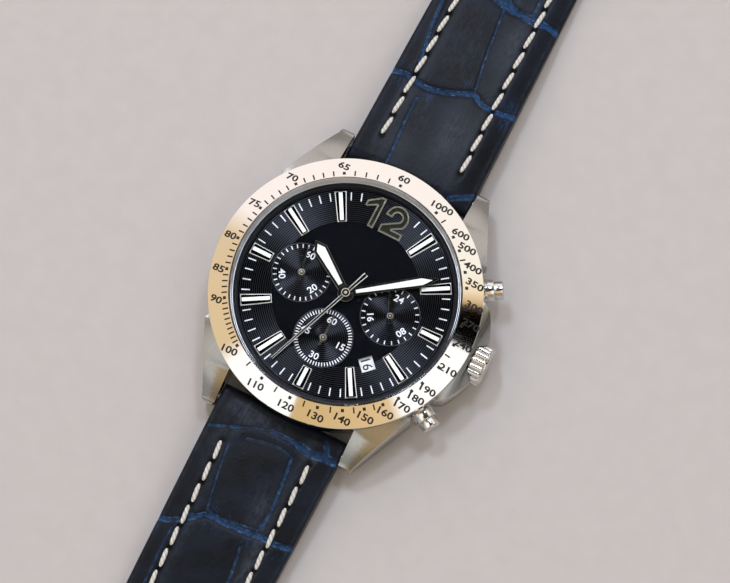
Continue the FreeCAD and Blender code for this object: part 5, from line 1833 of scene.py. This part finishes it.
# The embossed folds beside the case, in millimetres from the hands' axis.
BUCKLE_SIDE_FOLDS = (
    Crease(((-9.85, 33.85), (-7.7, 34.3), (-6.4, 33.7), (-4.1, 33.5), (-2.15, 33.85), (0.15, 34.6),
            (2.1, 35.6), (2.85, 35.85), (4, 35.1), (5.15, 34.7), (7.1, 34.8), (9.4, 35.4)), 0.46, 1.0, 0.3),
    Crease(((2.65, 36.2), (2.1, 39.2), (1.5, 43.1), (0.9, 48.5), (0.7, 50.4)), 0.2, 0.6, 0.12),
    Crease(((-6.4, 34.6), (-6.9, 38.4), (-7.7, 42.8), (-8.1, 47.8)), 0.3, 0.9, 0.16),
    Crease(((-0.6, 52.8), (0.9, 50.9), (2.5, 50.1), (5, 49.6), (6.7, 49.9), (8.9, 50.3)), 0.44, 1.0, 0.26),
    Crease(((-9.3, 50.2), (-6.5, 50.9), (-3.2, 50.4), (0.9, 50.9)), 0.26, 0.5, 0.16),
    Crease(((-4.5, 31.5), (-4.5, 28.1), (-4.15, 24.2), (-4, 20.8)), 0.22, 0.65, 0.1),
    Crease(((6.7, 20), (7.85, 20.8), (9.6, 21.9)), 0.5, 0.6, 0.14),
)
TAIL_SIDE_FOLDS = (
    Crease(((-9.3, 25.5), (-7.7, 25), (-6.2, 24.4), (-4.5, 23.7)), 0.26, 0.75, 0.2),
    Crease(((-4.5, 23.7), (-2.9, 22.9), (-0.6, 22.4)), 0.16, 0.45, 0.16),
    Crease(((-0.6, 22.4), (1.7, 22.3), (4, 22.5)), 0.4, 0.7, 0.2),
    Crease(((4, 22.5), (6.3, 22.9), (7.85, 22.3), (9.4, 22.3)), 0.75, 0.94, 0.26),
    Crease(((7.2, 20.4), (7.9, 21.4), (8.1, 22.6)), 0.5, 0.6, 0.1),
    Crease(((-3.4, 24.8), (-1.0, 24.2), (2.2, 23.9), (3.7, 24.6)), 0.15, 0.35, 0.12),
    Crease(((3.7, 24.6), (4.1, 26.7), (4.4, 30.5), (4.7, 34.2), (4, 36.1)), 0.24, 0.85, 0.18),
    Crease(((-5.4, 26.7), (-4.9, 30.5), (-4.4, 33.6), (-3.8, 36.6)), 0.17, 0.6, 0.13),
    Crease(((-9.65, 40.65), (-8.3, 40.5), (-6.8, 39.7), (-5.2, 38.6), (-4.1, 37.65), (-3.3, 37.1),
            (-0.6, 37.3), (2.1, 37.1), (4.8, 36.7), (7.1, 36.8), (9.4, 36.3)), 0.48, 1.0, 0.3),
    Crease(((-6.6, 38.6), (-4.6, 37.9), (-3.2, 37.3)), 0.24, 0.7, 0.08),
    Crease(((-3.6, 36.6), (-2.2, 36.9), (3.2, 36.2), (4.2, 35.8)), 0.16, 0.45, 0.08),
    Crease(((3, 39.4), (3.4, 41.7), (3.8, 45.4), (4.2, 52.4)), 0.22, 0.7, 0.12),
    Crease(((-7.2, 41.2), (-7.3, 44.8), (-7.0, 52.0)), 0.2, 0.35, 0.08),
)
# Painted sheen spots, grey where light glances off the padded leather: the middle across and along, the reach
# across and along, and the strength.
BUCKLE_SIDE_SHEEN_SPOTS = (
    (2.6, 28.5, 2.6, 5.0, 0.9), (4.2, 45.5, 1.6, 5.5, 0.7), (-3.4, 24.0, 2.0, 2.4, 0.35),
    (-6.5, 30.0, 1.0, 4.0, 0.35),
)
TAIL_SIDE_SHEEN_SPOTS = (
    (-4.0, 21.6, 4.5, 1.6, 0.8), (3.0, 33.0, 1.6, 3.2, 0.6), (5.4, 42.0, 1.3, 5.0, 0.6),
    (-7.6, 27.0, 1.2, 4.0, 0.3),
)


@dataclass
class Keeper:
    """A leather loop round the strap, with room for the tail."""

    name: str
    body: str
    middle: float
    half: float = 10.42
    width: float = 5.0
    low: float = 0.12
    high: float = 7.63
    wall: float = 0.8
    corner: float = 1.15
    edge: float = 0.24
    wear: float = 0.4

    def build(self, leather: Material) -> None:
        """Builds the loop: a block opened at both ends, rounded and given its wall.

        Args:
            leather: its finish.
        """
        near, far = self.middle - self.width / 2, self.middle + self.width / 2
        piece = block(self.name + "_loop", (-self.half, near, self.low), (self.half, far, self.high))
        pick(piece)
        bpy.ops.object.mode_set(mode="EDIT")
        bpy.ops.mesh.select_mode(type="FACE")
        bpy.ops.mesh.select_all(action="DESELECT")
        bpy.ops.object.mode_set(mode="OBJECT")
        for face in piece.data.polygons:
            face.select = abs(face.normal.y) > 0.9
        bpy.ops.object.mode_set(mode="EDIT")
        bpy.ops.mesh.delete(type="ONLY_FACE")
        bpy.ops.mesh.select_mode(type="VERT")
        bpy.ops.object.mode_set(mode="OBJECT")
        bevel(piece, self.corner, 6, 60.0)
        modify(piece, "SOLIDIFY", thickness=self.wall * MM, offset=-1.0)
        bevel(piece, self.edge, 3, 50.0)
        close_up(piece)
        count = len(piece.data.vertices)
        # The whole loop gets an even share of the grey tint that stands for wear and painted sheen.
        for key, value in (("fold", FAR), ("wear", self.wear)):
            piece.data.attributes.new(key, "FLOAT", "POINT").data.foreach_set("value", [value] * count)
        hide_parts(self.name)
        seat(piece, self.body, "navy_leather", leather, degrees=40)


@dataclass
class Strap:
    """Both halves of the strap, the keepers and the pin buckle."""

    halves: tuple[StrapHalf, ...] = (
        StrapHalf("buckle_side", "buckle_strap", "strap_buckle_side", "strap_buckle_lining", end=97.5,
                  creases=BUCKLE_SIDE_FOLDS + far_folds((50.5, 66.0, 81.0, 94.5), 3),
                  first_stitch=24.2, last_stitch=88.0, stitch_length=3.1, stitch_pitch=3.55,
                  lifted=True, worn=BUCKLE_SIDE_SHEEN_SPOTS),
        StrapHalf("tail_side", "tail_strap", "strap_tail_side", "strap_tail_lining", end=136.0,
                  creases=TAIL_SIDE_FOLDS + far_folds((53.0, 69.0, 84.0, 99.0, 113.0, 126.0), 40),
                  first_stitch=24.4, last_stitch=124.0, stitch_length=3.02, stitch_pitch=3.46,
                  mirrored=True, worn=TAIL_SIDE_SHEEN_SPOTS),
    )
    keepers: tuple[Keeper, ...] = (
        Keeper("fixed_keeper", "buckle_strap", 84.0),
        Keeper("free_keeper", "free_keeper", 76.0),
    )

    def build(self) -> None:
        """Builds the leather, the keepers and the buckle."""
        leather, lining, thread = NAVY.material(), LINING.material(), Thread().material()
        for half in self.halves:
            half.build(leather, lining, thread)
        for keeper in self.keepers:
            keeper.build(leather)
        steel = POLISHED.material()
        for node, body, width in (("buckle_frame", "buckle", 0.35), ("buckle_tongue", "tongue", 0.2)):
            piece = likeness(node, node + "_finished", width, 3, 35.0)
            seat(piece, body, "polished_steel", steel, degrees=40)


# ---------------------------------------------------------------- studio

@dataclass
class Studio:
    """The floor, the soft lights, the room that metal mirrors, and the camera."""

    lens: float = 204.26
    tilt: Place = (-1.11, -11.83, -26.86)
    aim: Place = (2.77, 0.48, 600.0)
    dial_top: float = 7.6
    walls: tuple[tuple[float, str, float], ...] = (
        (0, "FBF3F0", 1.35), (50, "F8F1E6", 1.35), (59, "F2E0BD", 1.3), (64.5, "DDB888", 1.1),
        (66.5, "0A0808", 0.02), (84.5, "0A0808", 0.02), (87, "FFFFFF", 1.4), (127, "FFFFFF", 1.4),
        (132, "E8C99A", 1.2), (177, "E0C088", 1.1), (182, "FFFFFF", 1.4), (216, "FFFFFF", 1.4),
        (224, "EBCFA4", 1.15), (276, "EBD3AE", 1.15), (288, "FBF1EE", 1.35),
    )
    upper: tuple[tuple[float, str, float], ...] = (
        (0, "C8C4C0", 0.06), (60, "C8C4C0", 0.06), (110, "C8BFA8", 0.06), (178, "D9B97C", 0.06),
        (192, "FFFFFF", 1.6), (214, "FFFFFF", 1.6), (228, "C8C4C0", 0.06), (273, "C8C4C0", 0.06),
        (287, "FFFFFF", 1.6), (309, "FFFFFF", 1.6), (323, "B0ACA8", 0.06),
    )
    horizon: float = 0.42
    ceiling: float = 0.03
    lamps: tuple[tuple[str, Place, float], ...] = (
        ("key_softbox", (-0.39, 0.34, 1.0), 3.0),
        ("rim_softbox", (-0.005, 0.466, 1.0), 2.4),
    )
    lamp_size: float = 0.14
    lamp_colour: str = "E4EDFF"
    lean: Point = (10.08, 6.31)

    def floor(self) -> None:
        """Lays a plain pale floor under the watch."""
        deselect()
        bpy.ops.mesh.primitive_plane_add(size=8.0, location=(0, 0, -0.00005))
        piece = settle("floor")
        coat(piece, FLOOR.material())

    def camera(self) -> None:
        """Places the camera above the watch, turned and tilted as it is seen."""
        y, x, z = (math.radians(a) for a in self.tilt)
        turned = Matrix.Rotation(y, 3, "Y") @ Matrix.Rotation(x, 3, "X") @ Matrix.Rotation(z, 3, "Z")
        data = bpy.data.cameras.new("camera")
        data.lens, data.sensor_width = self.lens, 36.0
        data.clip_start, data.clip_end = 0.01, 20.0
        made = bpy.data.objects.new("camera", data)
        bpy.context.scene.collection.objects.link(made)
        place = turned.transposed() @ (Vector(self.aim) * MM) + Vector((0, 0, self.dial_top * MM))
        made.matrix_world = Matrix.Translation(place) @ turned.transposed().to_4x4()
        bpy.context.scene.camera = made

    def lamp(self, name: str, at: Place, power: float) -> None:
        """Hangs a square softbox that faces the watch.

        Args:
            name: its name.
            at: its place in metres.
            power: its power in watts.
        """
        data = bpy.data.lights.new(name, "AREA")
        data.energy, data.size, data.color = power, self.lamp_size, srgb(self.lamp_colour)[:3]
        made = bpy.data.objects.new(name, data)
        made.location = at
        made.rotation_mode = "QUATERNION"
        made.rotation_quaternion = (-Vector(at)).to_track_quat("-Z", "Y")
        bpy.context.scene.collection.objects.link(made)

    def room(self) -> None:
        """Builds the room: grey low down, a dim skirting, tinted panels all round, and dark overhead."""
        world = bpy.data.worlds.new("room")
        bpy.context.scene.world = world
        world.use_nodes = True
        tree = world.node_tree
        tree.nodes.clear()
        leant = add(tree, "Mapping", {"Vector": add(tree, "TexCoord").outputs["Generated"],
                                      "Rotation": (*(math.radians(a) for a in self.lean), 0.0)})
        ray = add(tree, "SeparateXYZ", {0: leant.outputs["Vector"]}).outputs
        bearing = span(tree, reckon(tree, "ARCTAN2", ray["X"], ray["Y"]), -math.pi, math.pi)
        high = reckon(tree, "ARCSINE", ray["Z"])

        def panels(places: Sequence[tuple[float, str, float]]) -> Socket:
            """One belt of tinted panels.

            Args:
                places: each panel's angle clockwise from 12 o'clock, its colour and its brightness.

            Returns:
                The belt's colour.
            """
            stops = sorted((((a / 360 + 0.5) % 1.0), tuple(c * level for c in srgb(code)[:3]) + (1.0,))
                           for a, code, level in places)
            return add(tree, "ValToRGB", {"Fac": bearing}, stops=stops).outputs["Color"]

        walls = panels(self.walls)
        colour = grey(self.horizon)
        for start, end, belt in ((5, 15, over(tree, walls, 0.6, grey(0.02))), (29, 36, walls),
                                 (57, 63, panels(self.upper)), (76, 83, grey(self.ceiling))):
            share = span(tree, high, math.radians(start), math.radians(end), interpolation_type="SMOOTHSTEP")
            colour = over(tree, colour, share, belt)
        shade = add(tree, "Background", {"Color": colour, "Strength": 1.0})
        output = add(tree, "OutputWorld")
        tree.links.new(shade.outputs[0], output.inputs["Surface"])

    def build(self) -> None:
        """Sets up the whole studio."""
        bpy.context.scene.view_settings.view_transform = "Standard"
        self.camera()
        self.floor()
        self.room()
        for name, at, power in self.lamps:
            self.lamp(name, at, power)


def main() -> None:
    """Builds the studio and each part of the watch."""
    logging.basicConfig(level=logging.INFO, format="%(message)s")
    Studio().build()
    Case().build()
    Dial().build()
    Movement().build()
    Strap().build()


if __name__ == "__main__":
    main()
